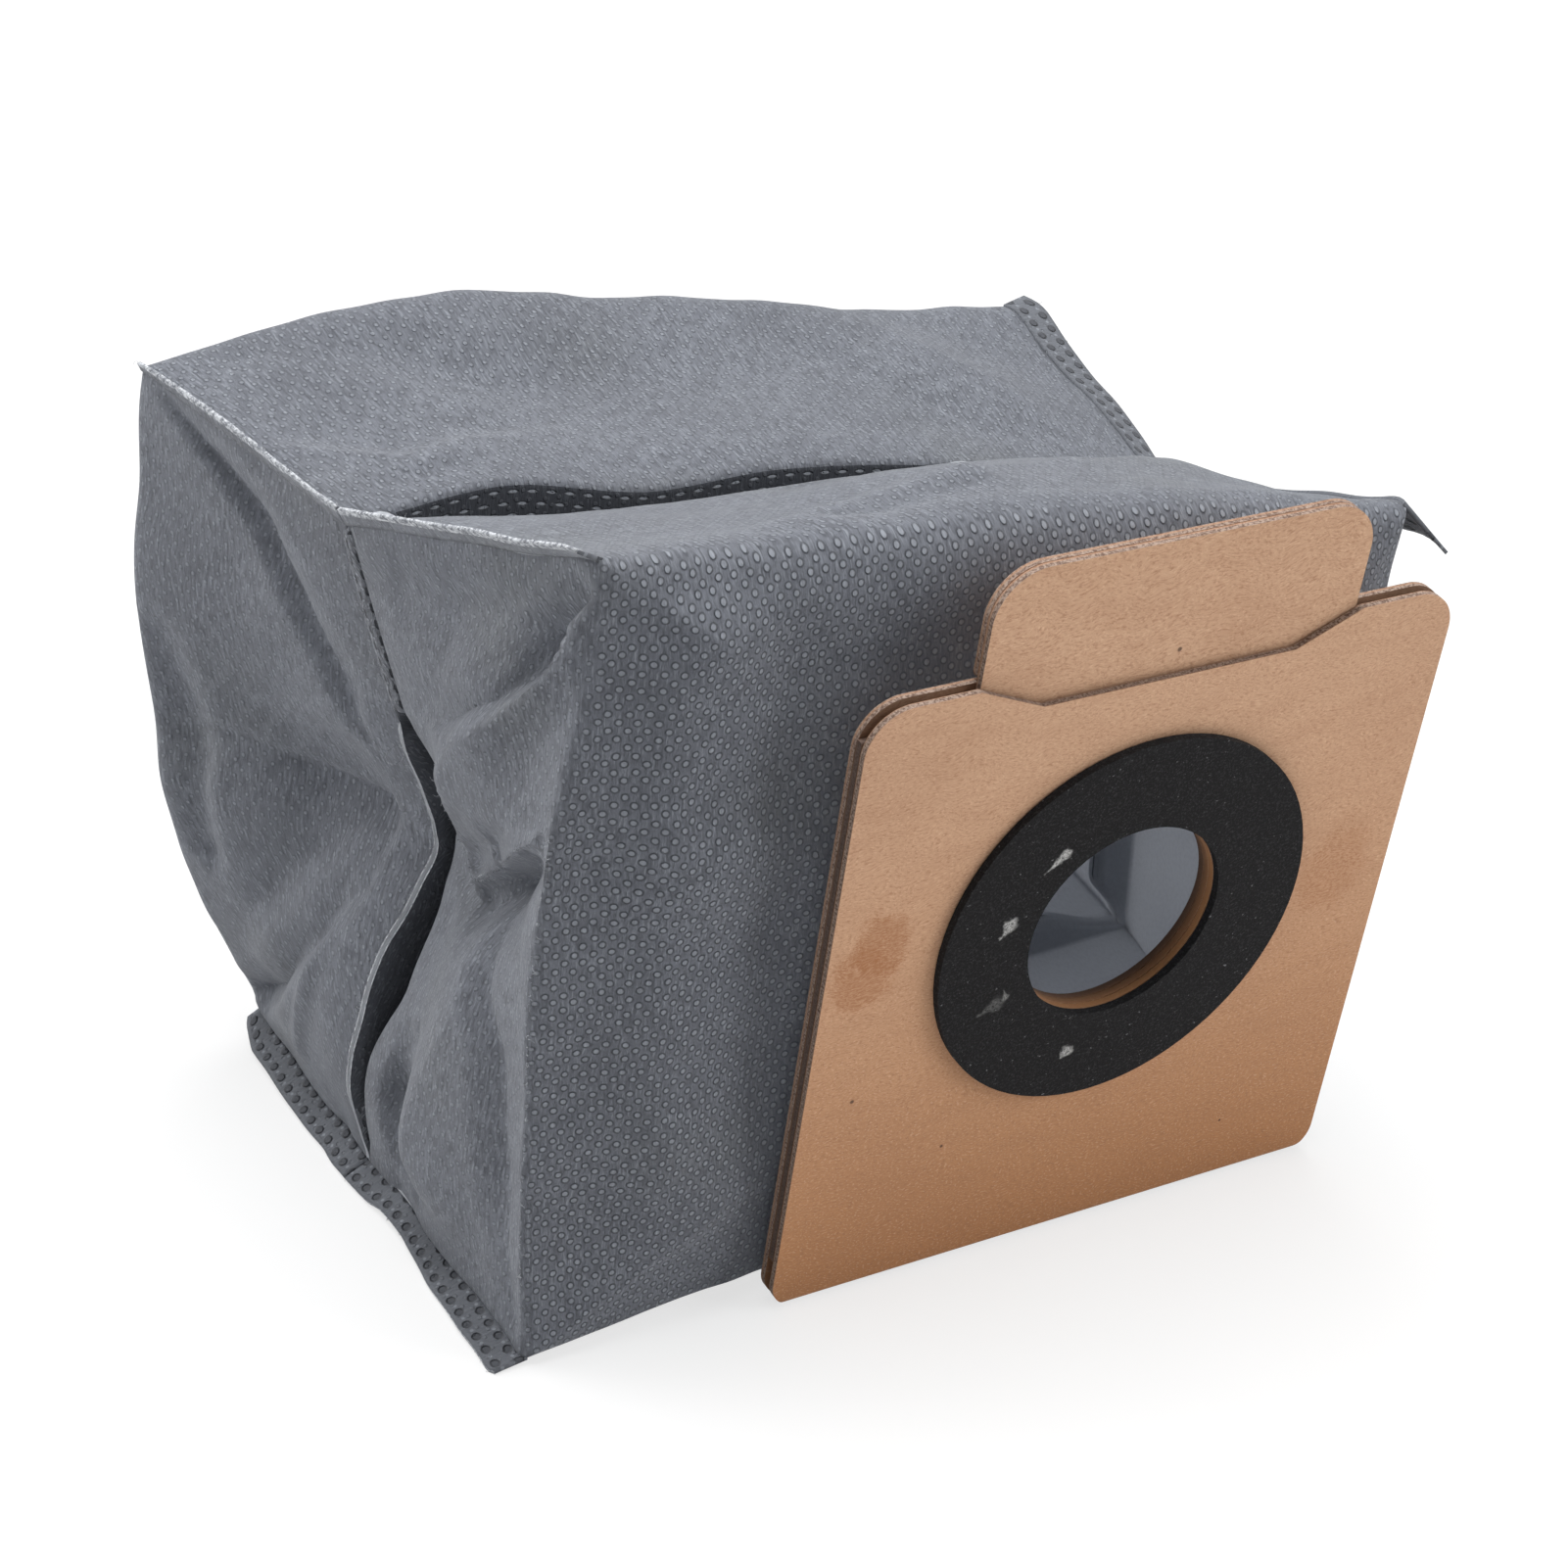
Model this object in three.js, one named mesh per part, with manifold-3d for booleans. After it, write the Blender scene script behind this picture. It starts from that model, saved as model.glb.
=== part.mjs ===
// Dust bag of a vacuum station: a welded bag of grey nonwoven cloth behind a folded kraft card
// plate, with a black foam ring round the inlet and a card slide that closes the inlet when its
// tab is pulled up. Millimetres, +Z up. The card plate faces -Y, and the bag stands behind it.
import * as THREE from 'three';
import { mergeVertices } from 'three/addons/utils/BufferGeometryUtils.js';
import Module from 'manifold-3d';

const wasm = await Module();
wasm.setup();

// Card plate: a front and a rear leaf, folded into one another along the bottom edge
const PLATE_WIDTH = 100;
const PLATE_HEIGHT = 106.8;
const PLATE_LEAN_DEG = 6;
const CARD = 1.1;
const SLOT = 1.4;
const TOP_CORNER_R = 7;
const BOTTOM_CORNER_R = 5;
const NOTCH_TOP_WIDTH = 65;
const NOTCH_FLOOR_WIDTH = 43;
const NOTCH_DEPTH = 4.7;

// Inlet, through the ring, both leaves, the slide and the front sheet
const INLET_R = 16.5;
const INLET_RISE = 60.4;
const FOAM_R = 31.6;
const FOAM_THICK = 1.3;

// Side strips, which hold the leaves apart and guide the slide
const STRIP_WIDTH = 7;
const STRIP_TOP_INSET = 5;
const STRIP_BOTTOM_INSET = 9;

// Closing slide, its tab and the ply that stiffens the tab
const SLIDE_SIDE_CLEARANCE = 0.6;
const SLIDE_BOTTOM_INSET = 3.5;
const SLIDE_TOP_INSET = 1;
const SLIDE_CORNER_R = 7;
const TAB_WIDTH = 64;
const TAB_RISE = 17.6;
const TAB_CORNER_R = 8;

// Clearances between glued or sliding faces
const GLUE_GAP = 0.15;
const SEAT_GAP = 0.3;

// Bag: nominal box of the blown-up bag, and the thickness of its cloth
const BAG_WIDTH = 146;
const BAG_DEPTH = 95;
const BAG_HEIGHT = 118;
const BAG_CENTRE_X = -14.5;
const BAG_FRONT_Y = 6;
const BAG_FLOOR_Z = 1.6;
const CLOTH = 0.6;
const CLOTH_INLET_MARGIN = 1.5;
const GLUE_RING_WIDTH = 16;

// Middle seam: the valley that the two sheets fall into, and the weld flange that stands in it
const SEAM_DEPTH = 7;
const SEAM_END_DEPTH = 1.6;
const SEAM_LIP = 1.4;
const SEAM_WELD_GAP = 0.3;
const SEAM_SLIT_GAP = 0.35;
const SEAM_PROUD = 0.4;
const LIP_ANGLES = [Math.PI / 3, Math.PI / 6, 0];
const VALLEY_TAPER = 0.3;
const VALLEY_KNEE = 0.75;
const FLANGE_FOOT = 0.8;

// Weld fins along the four long edges, where the corners of the bag are boxed
const FIN_WIDTH = 5;
const FIN_EAR = 2.2;
const FIN_ROOT_SINK = 0.9;
const FIN_TIP_THINNING = 0.75;

// Grid: columns along each side and rows across each stretch of a sheet. The rows of a side end
// at SIDE_SHARE of the way across it, where the lip of the seam begins.
const COLUMNS = { top: 16, right: 8, bottom: 9, left: 17 };
const PANEL_ROWS = 5;
const SIDE_ROWS = 6;
const SIDE_SHARE = 0.43;
const CORNER_BLEND = 0.14;
const CURVE_STEPS = 10;
const MERGE_TOLERANCE = 1e-4;

// How steeply folds fade out toward the edges of a side and of a panel
const SIDE_FADE = 4;
const PANEL_FADE = 5;

const inletCentre = new THREE.Vector2(0, INLET_RISE);
const plateThick = 2 * CARD + SLOT;
const plySlack = (SLOT - CARD) / 2;

const kraft = { color: 0xb98e6b, roughness: 0.9, metalness: 0 };
const cloth = { color: 0x6f757d, roughness: 0.85, metalness: 0 };
const foam = { color: 0x1c1b1d, roughness: 0.95, metalness: 0 };

// Solids: a closed geometry as a solid, and back
function solid(geometry) {
  const bare = geometry.index ? geometry.toNonIndexed() : geometry.clone();
  bare.deleteAttribute('normal');
  bare.deleteAttribute('uv');
  const merged = mergeVertices(bare, MERGE_TOLERANCE);
  return new wasm.Manifold(new wasm.Mesh({
    numProp: 3,
    vertProperties: new Float32Array(merged.attributes.position.array),
    triVerts: new Uint32Array(merged.index.array),
  }));
}

function geometryOf(body) {
  const mesh = body.getMesh();
  const geometry = new THREE.BufferGeometry();
  geometry.setAttribute('position', new THREE.BufferAttribute(new Float32Array(mesh.vertProperties), 3));
  geometry.setIndex(new THREE.BufferAttribute(new Uint32Array(mesh.triVerts), 1));
  return geometry;
}

function piece(name, geometry, look) {
  const mesh = new THREE.Mesh(geometry, new THREE.MeshStandardMaterial(look));
  mesh.name = name;
  return mesh;
}

// Plate outlines, in the plate's own frame: X right, Y up the plate, Z out of its front face
function roundedOutline(left, right, bottom, top, bottomR, topR) {
  const shape = new THREE.Shape();
  shape.moveTo(left + bottomR, bottom);
  shape.lineTo(right - bottomR, bottom);
  shape.absarc(right - bottomR, bottom + bottomR, bottomR, -Math.PI / 2, 0, false);
  shape.lineTo(right, top - topR);
  shape.absarc(right - topR, top - topR, topR, 0, Math.PI / 2, false);
  shape.lineTo(left + topR, top);
  shape.absarc(left + topR, top - topR, topR, Math.PI / 2, Math.PI, false);
  shape.lineTo(left, bottom + bottomR);
  shape.absarc(left + bottomR, bottom + bottomR, bottomR, Math.PI, 1.5 * Math.PI, false);
  return shape;
}

// A flat outline as a ply between two depths behind the plate's front face
function ply(shape, frontDepth, backDepth) {
  const options = { depth: backDepth - frontDepth, bevelEnabled: false, curveSegments: CURVE_STEPS };
  return new THREE.ExtrudeGeometry(shape, options).translate(0, 0, -backDepth);
}

function disc(radius, frontDepth, backDepth) {
  const shape = new THREE.Shape();
  shape.absarc(inletCentre.x, inletCentre.y, radius, 0, 2 * Math.PI, false);
  const options = { depth: backDepth - frontDepth, bevelEnabled: false, curveSegments: 4 * CURVE_STEPS };
  return new THREE.ExtrudeGeometry(shape, options).translate(0, 0, -backDepth);
}

// Mount card: a U section along the bottom fold, trimmed to the rounded outline
function mountCard() {
  const foldR = plateThick / 2;
  const boreR = SLOT / 2;
  const section = new THREE.Shape();
  section.moveTo(0, PLATE_HEIGHT);
  section.lineTo(0, foldR);
  section.absarc(foldR, foldR, foldR, Math.PI, 2 * Math.PI, false);
  section.lineTo(plateThick, PLATE_HEIGHT);
  section.lineTo(plateThick - CARD, PLATE_HEIGHT);
  section.lineTo(plateThick - CARD, foldR);
  section.absarc(foldR, foldR, boreR, 0, Math.PI, true);
  section.lineTo(CARD, PLATE_HEIGHT);
  const options = { depth: PLATE_WIDTH, bevelEnabled: false, curveSegments: CURVE_STEPS };
  const fold = new THREE.ExtrudeGeometry(section, options);
  fold.rotateY(Math.PI / 2).translate(-PLATE_WIDTH / 2, 0, 0);
  const half = PLATE_WIDTH / 2;
  const outline = roundedOutline(-half, half, 0, PLATE_HEIGHT, BOTTOM_CORNER_R, TOP_CORNER_R);
  const notch = new THREE.Shape();
  const over = NOTCH_DEPTH;
  const flare = (NOTCH_TOP_WIDTH - NOTCH_FLOOR_WIDTH) / 2;
  notch.moveTo(-NOTCH_FLOOR_WIDTH / 2, PLATE_HEIGHT - NOTCH_DEPTH);
  notch.lineTo(NOTCH_FLOOR_WIDTH / 2, PLATE_HEIGHT - NOTCH_DEPTH);
  notch.lineTo(NOTCH_TOP_WIDTH / 2 + flare, PLATE_HEIGHT + over);
  notch.lineTo(-NOTCH_TOP_WIDTH / 2 - flare, PLATE_HEIGHT + over);
  return geometryOf(
    solid(fold)
      .intersect(solid(ply(outline, -CARD, plateThick + CARD)))
      .subtract(solid(ply(notch, -CARD, CARD + plySlack)))
      .subtract(solid(disc(INLET_R, -CARD, plateThick + CARD))),
  );
}

// Side strip: a card strip between the leaves, along one side edge
function sideStrip(side) {
  const outer = side * PLATE_WIDTH / 2;
  const inner = outer - side * STRIP_WIDTH;
  const shape = new THREE.Shape();
  const bottom = STRIP_BOTTOM_INSET;
  const top = PLATE_HEIGHT - STRIP_TOP_INSET;
  shape.moveTo(Math.min(outer, inner), bottom);
  shape.lineTo(Math.max(outer, inner), bottom);
  shape.lineTo(Math.max(outer, inner), top);
  shape.lineTo(Math.min(outer, inner), top);
  return ply(shape, CARD + plySlack, CARD + plySlack + CARD);
}

// Closing slide: a card ply with the inlet through it, shoulders in the slot and a tab above it
function closingSlide() {
  const half = PLATE_WIDTH / 2 - STRIP_WIDTH - SLIDE_SIDE_CLEARANCE;
  const front = CARD + plySlack;
  const top = PLATE_HEIGHT - SLIDE_TOP_INSET;
  const body = roundedOutline(-half, half, SLIDE_BOTTOM_INSET, top, SLIDE_CORNER_R, SLIDE_CORNER_R);
  const tabTop = PLATE_HEIGHT + TAB_RISE;
  const tab = roundedOutline(-TAB_WIDTH / 2, TAB_WIDTH / 2, INLET_RISE, tabTop, CARD, TAB_CORNER_R);
  return geometryOf(
    solid(ply(body, front, front + CARD))
      .add(solid(ply(tab, front, front + CARD)))
      .subtract(solid(disc(INLET_R, -CARD, plateThick + CARD))),
  );
}

// Tab backing: the ply behind the tab, whose foot stands on the rear leaf and stops the slide
function tabBacking() {
  const bottom = PLATE_HEIGHT + SEAT_GAP;
  const half = TAB_WIDTH / 2;
  const shape = roundedOutline(-half, half, bottom, PLATE_HEIGHT + TAB_RISE, CARD, TAB_CORNER_R);
  const front = CARD + plySlack + CARD + GLUE_GAP;
  return ply(shape, front, front + CARD);
}

function foamRing() {
  const ring = new THREE.Shape();
  ring.absarc(inletCentre.x, inletCentre.y, FOAM_R, 0, 2 * Math.PI, false);
  const bore = new THREE.Path();
  bore.absarc(inletCentre.x, inletCentre.y, INLET_R, 0, 2 * Math.PI, true);
  ring.holes.push(bore);
  const options = { depth: FOAM_THICK, bevelEnabled: false, curveSegments: 4 * CURVE_STEPS };
  return new THREE.ExtrudeGeometry(ring, options).translate(0, 0, GLUE_GAP);
}

const plate = new THREE.Group();
plate.rotation.x = THREE.MathUtils.degToRad(90 + PLATE_LEAN_DEG);
plate.add(
  piece('mount_card', mountCard(), kraft),
  piece('side_strip_left', sideStrip(-1), kraft),
  piece('side_strip_right', sideStrip(1), kraft),
  piece('closing_slide', closingSlide(), kraft),
  piece('tab_backing', tabBacking(), kraft),
  piece('foam_ring', foamRing(), foam),
);
plate.updateMatrixWorld(true);

// Bag corners: the nominal box, with each corner leaning by its own offset
const boxX = [BAG_CENTRE_X - BAG_WIDTH / 2, BAG_CENTRE_X + BAG_WIDTH / 2];
const boxY = [BAG_FRONT_Y, BAG_FRONT_Y + BAG_DEPTH / 2, BAG_FRONT_Y + BAG_DEPTH];
const boxZ = [BAG_FLOOR_Z, BAG_FLOOR_Z + BAG_HEIGHT];
const corner = (i, j, k, dx, dy, dz) => new THREE.Vector3(boxX[i] + dx, boxY[j] + dy, boxZ[k] + dz);

const frontCorners = {
  topLeft: corner(0, 0, 1, 2, -2, 9.4),
  topRight: corner(1, 0, 1, -5.5, -1.5, -7.4),
  bottomRight: corner(1, 0, 0, -8, 1, 0),
  bottomLeft: corner(0, 0, 0, 1, 1, 0),
};
const middleCorners = {
  topLeft: corner(0, 1, 1, -8.5, -0.5, -5.6),
  topRight: corner(1, 1, 1, -12.5, 0.5, -25.6),
  bottomRight: corner(1, 1, 0, 1.5, 12, 0),
  bottomLeft: corner(0, 1, 0, -1.5, 2, 0),
};
const backCorners = {
  topLeft: corner(0, 2, 1, -15.5, 0, -2.6),
  topRight: corner(1, 2, 1, -12.5, 0, -12.6),
  bottomRight: corner(1, 2, 0, 1.5, -5, 4),
  bottomLeft: corner(0, 2, 0, -0.5, -2, 2),
};

// An edge of the bag: a straight line between two corners plus evenly spaced offsets, as one curve
function edge(from, to, offsets) {
  const points = [from.clone()];
  offsets.forEach(([x, y, z], i) => {
    const point = from.clone().lerp(to, (i + 1) / (offsets.length + 1));
    points.push(point.add(new THREE.Vector3(x, y, z)));
  });
  points.push(to.clone());
  return new THREE.CatmullRomCurve3(points, false, 'catmullrom');
}

// The four sides in turn, clockwise as seen from the front, with the side's outward direction
const SIDES = [
  { name: 'top', from: 'topLeft', to: 'topRight', out: [0, 0, 1] },
  { name: 'right', from: 'topRight', to: 'bottomRight', out: [1, 0, 0] },
  { name: 'bottom', from: 'bottomRight', to: 'bottomLeft', out: [0, 0, -1] },
  { name: 'left', from: 'bottomLeft', to: 'topLeft', out: [-1, 0, 0] },
];
const FRONT_OFFSETS = {
  top: [[0, 0.5, 0.9], [0, -0.4, 2.7], [0, -1.2, 4.2], [0, -2.2, 4.3], [0, -1.8, 3.1]],
  right: [[0, 0, 0], [1, 0, 0], [1, 0, 0]],
  bottom: [[0, 1, 0], [0, 1.2, 0], [0, 0, 0]],
  left: [[-1, 0, 0], [-2, 0, 0], [-2.4, 0, 0], [-2.2, 0, 0], [-0.6, 0, 0]],
};
const MIDDLE_OFFSETS = {
  top: [[0, 0, 3.2], [0, 0, 2.2], [0, 0, 5], [0, 0, 5.4], [0, 0, 3.6]],
  right: [[0, 0, 0], [-1, 0, 0], [0, 0, 0]],
  bottom: [[0, 0, 0], [0, 0, 0], [0, 0, 0]],
  left: [[-2.6, 0, 0], [6, 0, 0], [15.5, 0, 0], [10.3, 0, 0], [4.3, 0, 0]],
};
const BACK_OFFSETS = {
  top: [[0, 0, 6.7], [0, 1, 9.2], [0, 1, 7], [0, 0, 4.2], [0, 0, 1.4]],
  right: [[1, 1, 0], [2, 2, 0], [1, 1, 0]],
  bottom: [[0, 1, -3], [0, 2, -4], [0, 1, -3]],
  left: [[-5.4, 3, 0], [-8.4, 4, 0], [-8, 4, 0], [-7.2, 4, 0], [-5.4, 2, 0]],
};

// Folds of the cloth on a side: from and to are (share along the side, share from front to back),
// rise is how far the crest stands out at each end, and spread how wide its flanks are
const FOLDS = {
  top: [
    { from: [0.5, 0.16], to: [0.95, 0.34], rise: [5, 3], spread: 22 },
    { from: [0.1, 0.62], to: [0.55, 0.8], rise: [-4, -2], spread: 26 },
    { from: [0.75, 0.95], to: [0.92, 0.6], rise: [3, 2], spread: 14 },
  ],
  right: [
    { from: [0.2, 0.25], to: [0.8, 0.3], rise: [4, 4], spread: 22 },
    { from: [0.2, 0.75], to: [0.8, 0.75], rise: [4, 4], spread: 22 },
  ],
  bottom: [],
  left: [
    { from: [0.98, 0.04], to: [0.68, 0.3], rise: [3, 3], spread: 13 },
    { from: [0.64, 0.03], to: [0.56, 0.36], rise: [-5, -3], spread: 12 },
    { from: [0.42, 0.2], to: [0.14, 0.3], rise: [4, 4], spread: 18 },
    { from: [0.9, 0.5], to: [0.55, 0.78], rise: [3, -3], spread: 20 },
    { from: [0.5, 0.62], to: [0.14, 0.94], rise: [-5, -4], spread: 16 },
  ],
};

// Folds of the flat front and back panels: from and to are (x, z), rise is outward
const FRONT_PANEL_FOLDS = [
  { from: [-74, 108], to: [-70, 30], rise: [4, 3], spread: 18 },
  { from: [-84, 84], to: [-70, 78], rise: [-3, 0], spread: 10 },
];
const BACK_PANEL_FOLDS = [
  { from: [-60, 75], to: [10, 60], rise: [9, 8], spread: 60 },
  { from: [-90, 20], to: [-60, 50], rise: [-3, 2], spread: 20 },
];

// Height of a set of folds at a place: each crest falls off evenly to both of its sides
function foldRise(folds, place) {
  let rise = 0;
  for (const fold of folds) {
    const from = new THREE.Vector2(...fold.from);
    const run = new THREE.Vector2(...fold.to).sub(from);
    const along = THREE.MathUtils.clamp(place.clone().sub(from).dot(run) / run.lengthSq(), 0, 1);
    const reach = place.distanceTo(from.addScaledVector(run, along)) / fold.spread;
    rise += THREE.MathUtils.lerp(fold.rise[0], fold.rise[1], along) * Math.max(0, 1 - reach);
  }
  return rise;
}

// Columns of the bag's grid: for each, its side, its share along it and its three curves
const sideCurves = SIDES.map((side) => ({
  ...side,
  front: edge(frontCorners[side.from], frontCorners[side.to], FRONT_OFFSETS[side.name]),
  middle: edge(middleCorners[side.from], middleCorners[side.to], MIDDLE_OFFSETS[side.name]),
  back: edge(backCorners[side.from], backCorners[side.to], BACK_OFFSETS[side.name]),
  length: frontCorners[side.from].distanceTo(frontCorners[side.to]),
}));

const columns = sideCurves.flatMap((side, index) => {
  const count = COLUMNS[side.name];
  const out = new THREE.Vector3(...side.out);
  const before = new THREE.Vector3(...sideCurves[(index + 3) % 4].out);
  const after = new THREE.Vector3(...sideCurves[(index + 1) % 4].out);
  return Array.from({ length: count }, (_, i) => {
    const share = i / count;
    const toBefore = 0.5 * Math.max(0, 1 - share / CORNER_BLEND);
    const toAfter = 0.5 * Math.max(0, 1 - (1 - share) / CORNER_BLEND);
    const normal = out.clone().lerp(before, toBefore).lerp(after, toAfter).normalize();
    const inside = THREE.MathUtils.smoothstep(Math.min(share, 1 - share), 0, CORNER_BLEND);
    return {
      side,
      share,
      normal,
      inside,
      front: side.front.getPoint(share),
      middle: side.middle.getPoint(share),
      back: side.back.getPoint(share),
    };
  });
});

const fade = (share, steepness) => Math.min(1, steepness * share * (1 - share));

// A point of a side between its front edge (0), the seam line (1/2) and its back edge (1)
function sidePoint(column, depth) {
  const [from, to] = depth < 0.5 ? [column.front, column.middle] : [column.middle, column.back];
  const within = depth < 0.5 ? 2 * depth : 2 * depth - 1;
  const point = from.clone().lerp(to, within);
  const { side, share } = column;
  const scale = new THREE.Vector2(side.length, BAG_DEPTH);
  const folds = FOLDS[side.name].map((fold) => ({
    ...fold,
    from: new THREE.Vector2(...fold.from).multiply(scale).toArray(),
    to: new THREE.Vector2(...fold.to).multiply(scale).toArray(),
  }));
  const rise = foldRise(folds, new THREE.Vector2(share, depth).multiply(scale));
  return point.addScaledVector(column.normal, rise * column.inside * fade(within, SIDE_FADE));
}

// Slits along the top and the left side: how far the valley gapes in front of the flange, and how
// far the flange stands out of it
const SLITS = {
  top: { from: 0.06, to: 0.66, gape: 3.2, proud: 0 },
  left: { from: 0.12, to: 0.74, gape: 3.6, proud: 2 },
};
function slitSwell(column) {
  const slit = SLITS[column.side.name];
  if (!slit || column.share < slit.from || column.share > slit.to) return 0;
  return Math.sin(Math.PI * (column.share - slit.from) / (slit.to - slit.from));
}

// Seam profile of one sheet at a column: the lip rolls over, the wall falls into the valley and
// the flange stands up out of it. toward is +1 for the front sheet, whose valley gapes, and -1
// for the back sheet.
function seamPoints(column, toward) {
  const depth = THREE.MathUtils.lerp(SEAM_END_DEPTH, SEAM_DEPTH, column.inside);
  const lip = Math.min(SEAM_LIP, depth / 2);
  const flange = SEAM_WELD_GAP / 2 + CLOTH;
  const swell = slitSwell(column);
  const slit = SLITS[column.side.name] ?? { gape: 0, proud: 0 };
  const opening = toward > 0 ? slit.gape * swell : 0;
  const wall = flange + SEAM_SLIT_GAP + opening;
  const profile = [
    ...LIP_ANGLES.map((a) => [wall + lip * (1 - Math.cos(a)), lip * (Math.sin(a) - 1)]),
    [wall - VALLEY_TAPER * opening, -VALLEY_KNEE * depth],
    [flange + SEAM_SLIT_GAP / 2, -depth],
    [flange, -FLANGE_FOOT * depth],
    [flange, SEAM_PROUD + slit.proud * swell],
  ];
  return profile.map(([back, up]) => column.middle.clone()
    .addScaledVector(column.normal, up)
    .add(new THREE.Vector3(0, -toward * back, 0)));
}

// Rows of the front sheet: inlet edge, glued ring, panel, front half of the sides, seam
const inletWorld = new THREE.Vector3(inletCentre.x, inletCentre.y, -(plateThick + GLUE_GAP));
plate.localToWorld(inletWorld);
const plateUp = new THREE.Vector3(0, 1, 0).transformDirection(plate.matrixWorld);
const plateRight = new THREE.Vector3(1, 0, 0);

function glueCircle(column, radius) {
  const toEdge = column.front.clone().sub(inletWorld);
  const angle = Math.atan2(toEdge.dot(plateUp), toEdge.dot(plateRight));
  return inletWorld.clone()
    .addScaledVector(plateRight, radius * Math.cos(angle))
    .addScaledVector(plateUp, radius * Math.sin(angle));
}

function panelPoint(column, centre, rim, share, folds, outY) {
  const point = centre.clone().lerp(rim, share);
  const rise = foldRise(folds, new THREE.Vector2(point.x, point.z));
  return point.add(new THREE.Vector3(0, outY * rise * fade(share, PANEL_FADE), 0));
}

const clothInletR = INLET_R + CLOTH_INLET_MARGIN;
function frontRows() {
  const rows = [];
  rows.push(columns.map((column) => glueCircle(column, clothInletR)));
  for (let i = 0; i < PANEL_ROWS; i += 1) {
    rows.push(columns.map((column) => {
      const glued = glueCircle(column, clothInletR + GLUE_RING_WIDTH);
      return panelPoint(column, glued, column.front, i / PANEL_ROWS, FRONT_PANEL_FOLDS, -1);
    }));
  }
  for (let i = 0; i < SIDE_ROWS; i += 1) {
    rows.push(columns.map((column) => sidePoint(column, SIDE_SHARE * i / (SIDE_ROWS - 1))));
  }
  const seams = columns.map((column) => seamPoints(column, 1));
  seams[0].forEach((_, i) => rows.push(seams.map((profile) => profile[i])));
  return rows;
}

// Rows of the back sheet: from the middle of the back panel outward, then forward to the seam
const backMiddle = new THREE.Vector3();
columns.forEach((column) => backMiddle.addScaledVector(column.back, 1 / columns.length));
function backRows() {
  const rows = [];
  for (let i = 1; i < PANEL_ROWS + 1; i += 1) {
    rows.push(columns.map((column) => (
      panelPoint(column, backMiddle, column.back, i / (PANEL_ROWS + 1), BACK_PANEL_FOLDS, 1)
    )));
  }
  for (let i = 0; i < SIDE_ROWS; i += 1) {
    rows.push(columns.map((column) => sidePoint(column, 1 - SIDE_SHARE * i / (SIDE_ROWS - 1))));
  }
  const seams = columns.map((column) => seamPoints(column, -1));
  seams[0].forEach((_, i) => rows.push(seams.map((profile) => profile[i])));
  return rows;
}

// A closed thin shell from rows of outer points. Its inner face lies one cloth thickness inward.
// cap is the outer point that closes the first row, and without it the first row rims a hole.
function shell(rows, outward, cap) {
  const count = columns.length;
  const outer = rows.flat();
  if (cap) outer.push(cap);
  const faces = [];
  const face = (a, b, c) => faces.push(outward > 0 ? [a, b, c] : [a, c, b]);
  for (let row = 0; row + 1 < rows.length; row += 1) {
    for (let i = 0; i < count; i += 1) {
      const next = (i + 1) % count;
      const [a, b] = [row * count + i, row * count + next];
      const [c, d] = [b + count, a + count];
      face(a, b, c);
      face(a, c, d);
    }
  }
  if (cap) for (let i = 0; i < count; i += 1) face(outer.length - 1, (i + 1) % count, i);
  const skin = new THREE.BufferGeometry().setFromPoints(outer);
  skin.setIndex(faces.flat());
  skin.computeVertexNormals();
  const normals = skin.attributes.normal;
  const inner = outer.map((point, i) => (
    point.clone().addScaledVector(new THREE.Vector3().fromBufferAttribute(normals, i), -CLOTH)
  ));
  const offset = outer.length;
  const all = faces.concat(faces.map(([a, b, c]) => [a + offset, c + offset, b + offset]));
  const rim = (row, flip) => {
    for (let i = 0; i < count; i += 1) {
      const a = row * count + i;
      const b = row * count + (i + 1) % count;
      const quad = [[a, a + offset, b + offset], [a, b + offset, b]];
      quad.forEach(([p, q, r]) => all.push(flip ? [p, r, q] : [p, q, r]));
    }
  };
  if (!cap) rim(0, outward < 0);
  rim(rows.length - 1, outward > 0);
  const closed = new THREE.BufferGeometry().setFromPoints(outer.concat(inner));
  closed.setIndex(all.flat());
  return solid(closed);
}

// Weld fins: flat strips of doubled cloth along the long edges, ending in a pointed ear.
// Each turns from one direction at its front end, through its middle, to its back end.
const FIN_DIRECTIONS = {
  topLeft: { front: [-0.5, 0, 0.3], middle: [-0.66, 0, 0.75], back: [-0.8, 0, 0.55] },
  topRight: { front: [0.7, 0, -0.72], middle: [0.86, 0, -0.5], back: [0.86, 0, 0.02] },
  bottomRight: { front: [0.7, 0, 0.7], middle: [0.97, 0, -0.2], back: [0.97, 0, -0.2] },
  bottomLeft: { front: [-0.7, 0, -0.2], middle: [-0.8, 0, -0.22], back: [-0.7, 0, -0.1] },
};
// The front right ear is pulled out longer than the others
const EAR_STRETCH = { topRight: 2.2 };

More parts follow.
